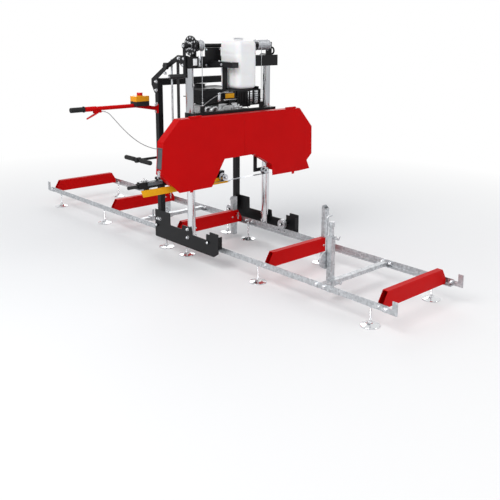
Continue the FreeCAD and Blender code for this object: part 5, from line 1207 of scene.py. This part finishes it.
# %% Track fittings
socket_spots = []
for place in (-945.0, -25.0, 971.0):
    for side in (-1, 1):
        socket_spots.append(((place + side * 20.0, 215.0, 178.0), (side, 0, 0)))
scatter(bolt_6, "socket_bolts", socket_spots, "track")
bunk_spots = []
for place in (-1940.0, -945.0, -25.0, 971.0, 1920.0):
    for side in (-1, 1):
        bunk_spots.append(((place, side * 330.0, 146.0), (0, side, 0)))
scatter(bolt_8, "bunk_bolts", bunk_spots, "track")
stop_spots = []
for end in (-1, 1):
    for side in (-1, 1):
        for place in (1964.0, 1978.0):
            stop_spots.append(((end * place, side * 336.0, 146.0), (0, side, 0)))
scatter(nut_8, "end_stop_nuts", stop_spots, "track")

# %% [markdown]
# The near rope passes a bright strap on the beam, which is a thin slab with two bolts low on it.

# %% Rope strap
rope_strap = block((252.2, -305.0, 1402.0), (255.2, -285.0, 1510.0), 1.0, 2, "rope_strap", bright_zinc)
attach(rope_strap, "carriage")
scatter(bolt_6, "strap_bolts", [((255.2, -295.0, 1416.0), (1, 0, 0)),
                                        ((255.2, -295.0, 1456.0), (1, 0, 0))], "carriage")

# %% [markdown]
# The tray's arm is bolted on, and its open end and the top beam's two ends have plastic plugs. The plugs
# and these bolts are a guess. A plug is a slab with an inset, sunk face.


# %% Tube plugs
def plug(low, high, axis, way, name, look):
    """Plastic plug in the open end of a tube, with a sunk face."""
    slab(low, high, 1.5, 2)
    pick(lambda middle, normal: normal[axis] * way > 0.9)
    shift = [0.0, 0.0, 0.0]
    shift[axis] = -way
    steps(shift, [(3.0, 1.2)])
    return settle(name, look, 30)


plugs = [plug((497.0, -214.0, 1403.0), (499.9, -156.0, 1437.0), 0, 1, "arm_plug", black_plastic),
         plug((193.0, 447.0, 1391.0), (251.0, 449.9, 1469.0), 1, 1, "beam_plug_far", black_plastic),
         plug((193.0, -389.8, 1391.0), (251.0, -387.0, 1469.0), 1, -1, "beam_plug_near", black_plastic)]
union(plugs, "tube_plugs", "carriage")
arm_screws = [((330.0, -185.0, 1438.0), (0, 0, 1)), ((391.0, -215.5, 1420.0), (0, -1, 0)),
              ((460.0, -185.0, 1438.0), (0, 0, 1))]
scatter(bolt_8, "tray_bolts", arm_screws, "carriage")

# %% [markdown]
# The stop box has a raised collar round its button and four corner screws. The collar is a disc whose
# upper face is stepped.

# %% Stop box details
rod("z", (-134.0, -537.0, 1184.5), 24.0, 3.0, 40)
pick(lambda middle, normal: normal.z > 0.9)
steps((0, 0, 1), ((2.0, 1.0), (9.0, -1.5)))
collar = settle("button_collar", yellow_plastic, 30)
corner_spots = [((-134.0 + side * 29.0, line, 1182.6), (0, 0, 1)) for side in (-1, 1)
                for line in (-587.0, -487.0)]
screw_model = dome(4.0, 0.8, ((0.6, 0.5), (1.4, 0.3)), "screw_model", bright_zinc)
screws = scatter(screw_model, "box_screws", corner_spots, "carriage")
bpy.data.objects.remove(screw_model)
union([collar, screws], "stop_box_collar", "carriage")

# %% [markdown]
# The camera stands where the photographer stood: in front of the track's lever end, on the operator's
# side, a little above the guard. Its place, turn and focal length were worked out from the straight
# rails and posts in the photograph.

# %% The camera
look_azimuth = 0.7909677
look_drop = 0.2257823
look_roll = 0.0160848
photo_size = 500.0
focal_pixels = 717.3075
centre_pixel = (287.3094, 188.4871)
camera_data = bpy.data.cameras.new("camera")
camera = bpy.data.objects.new("camera", camera_data)
bpy.context.scene.collection.objects.link(camera)
ahead = Vector((-math.sin(look_azimuth) * math.cos(look_drop),
                math.cos(look_azimuth) * math.cos(look_drop), -math.sin(look_drop)))
level_right = Vector((math.cos(look_azimuth), math.sin(look_azimuth), 0))
level_up = level_right.cross(ahead)
right = math.cos(look_roll) * level_right + math.sin(look_roll) * level_up
up = -math.sin(look_roll) * level_right + math.cos(look_roll) * level_up
turned = Matrix((right, up, -ahead)).transposed().to_4x4()
camera.matrix_world = Matrix.Translation(spot(4259.354, -3386.930, 1700.308)) @ turned
camera_data.sensor_width = 36.0
camera_data.lens = 36.0 * focal_pixels / photo_size
camera_data.shift_x = (photo_size / 2 - centre_pixel[0]) / photo_size
camera_data.shift_y = (centre_pixel[1] - photo_size / 2) / photo_size
camera_data.clip_end = 100.0
bpy.context.scene.camera = camera
print("lens", round(camera_data.lens, 1))

# %% [markdown]
# A studio: one pale floor, a broad soft lamp above the camera's left shoulder, a weaker one from the
# right, and a pale world that the metal can mirror. The world shows white only to the camera and in
# reflections, so it doesn't light the machine too much.

# %% Floor
bpy.ops.object.select_all(action="DESELECT")
bpy.ops.mesh.primitive_plane_add(size=80.0, location=(0, 0, -0.0005))
floor = bpy.context.object
floor.name = "floor"
floor_look = bpy.data.materials.new("pale_floor")
floor_look.use_nodes = True
floor_tree = floor_look.node_tree
floor_shader = floor_tree.nodes["Principled BSDF"]
floor_shader.inputs["Base Color"].default_value = (0.9, 0.9, 0.9, 1)
floor_shader.inputs["Roughness"].default_value = 0.9
floor_place = floor_tree.nodes.new("ShaderNodeTexCoord")
floor_range = floor_tree.nodes.new("ShaderNodeVectorMath")
floor_range.operation = "LENGTH"
floor_fade = floor_tree.nodes.new("ShaderNodeMapRange")
floor_fade.inputs["From Min"].default_value = 1.2
floor_fade.inputs["From Max"].default_value = 4.5
floor_white = floor_tree.nodes.new("ShaderNodeEmission")
floor_path = floor_tree.nodes.new("ShaderNodeLightPath")
floor_amount = floor_tree.nodes.new("ShaderNodeMath")
floor_amount.operation = "MULTIPLY"
floor_mix = floor_tree.nodes.new("ShaderNodeMixShader")
floor_tree.links.new(floor_place.outputs["Object"], floor_range.inputs[0])
floor_tree.links.new(floor_range.outputs["Value"], floor_fade.inputs["Value"])
floor_tree.links.new(floor_fade.outputs["Result"], floor_amount.inputs[0])
floor_tree.links.new(floor_path.outputs["Is Camera Ray"], floor_amount.inputs[1])
floor_tree.links.new(floor_amount.outputs["Value"], floor_mix.inputs["Fac"])
floor_tree.links.new(floor_shader.outputs["BSDF"], floor_mix.inputs[1])
floor_tree.links.new(floor_white.outputs["Emission"], floor_mix.inputs[2])
floor_out = floor_tree.nodes["Material Output"]
floor_tree.links.new(floor_mix.outputs["Shader"], floor_out.inputs["Surface"])
floor.data.materials.append(floor_look)

# %% Lamps
lamps = (
    ("key", spot(1500, -5200, 5200), 4.0, 300.0),
    ("fill", spot(6500, 1500, 3600), 4.0, 110.0),
    ("back", spot(-5200, 4200, 4400), 4.0, 130.0),
)
for name, place, size, power in lamps:
    lamp_data = bpy.data.lights.new(name, "AREA")
    lamp_data.size = size
    lamp_data.energy = power
    lamp = bpy.data.objects.new(name, lamp_data)
    bpy.context.scene.collection.objects.link(lamp)
    aim = (spot(200, 0, 700) - place).to_track_quat("-Z", "Y").to_matrix().to_4x4()
    lamp.matrix_world = Matrix.Translation(place) @ aim

# %% World
world = bpy.data.worlds.new("studio")
bpy.context.scene.world = world
world.use_nodes = True
sky = world.node_tree
sky_shader = sky.nodes["Background"]
sky_shader.inputs["Color"].default_value = (0.92, 0.95, 1.0, 1)
sky_shader.inputs["Strength"].default_value = 0.45
white = sky.nodes.new("ShaderNodeBackground")
white.inputs["Color"].default_value = (1, 1, 1, 1)
white.inputs["Strength"].default_value = 1.0
path = sky.nodes.new("ShaderNodeLightPath")
seen = sky.nodes.new("ShaderNodeMath")
seen.operation = "MAXIMUM"
chosen = sky.nodes.new("ShaderNodeMixShader")
sky.links.new(path.outputs["Is Camera Ray"], seen.inputs[0])
sky.links.new(path.outputs["Is Glossy Ray"], seen.inputs[1])
sky.links.new(seen.outputs["Value"], chosen.inputs["Fac"])
sky.links.new(sky_shader.outputs["Background"], chosen.inputs[1])
sky.links.new(white.outputs["Background"], chosen.inputs[2])
sky.links.new(chosen.outputs["Shader"], sky.nodes["World Output"].inputs["Surface"])
bpy.context.scene.view_settings.view_transform = "Standard"

# %% [markdown]
# The model bolts are removed at the end.

# %% Removing the model bolts
for model in (bolt_12, bolt_8, bolt_6, nut_12, nut_8):
    bpy.data.objects.remove(model)
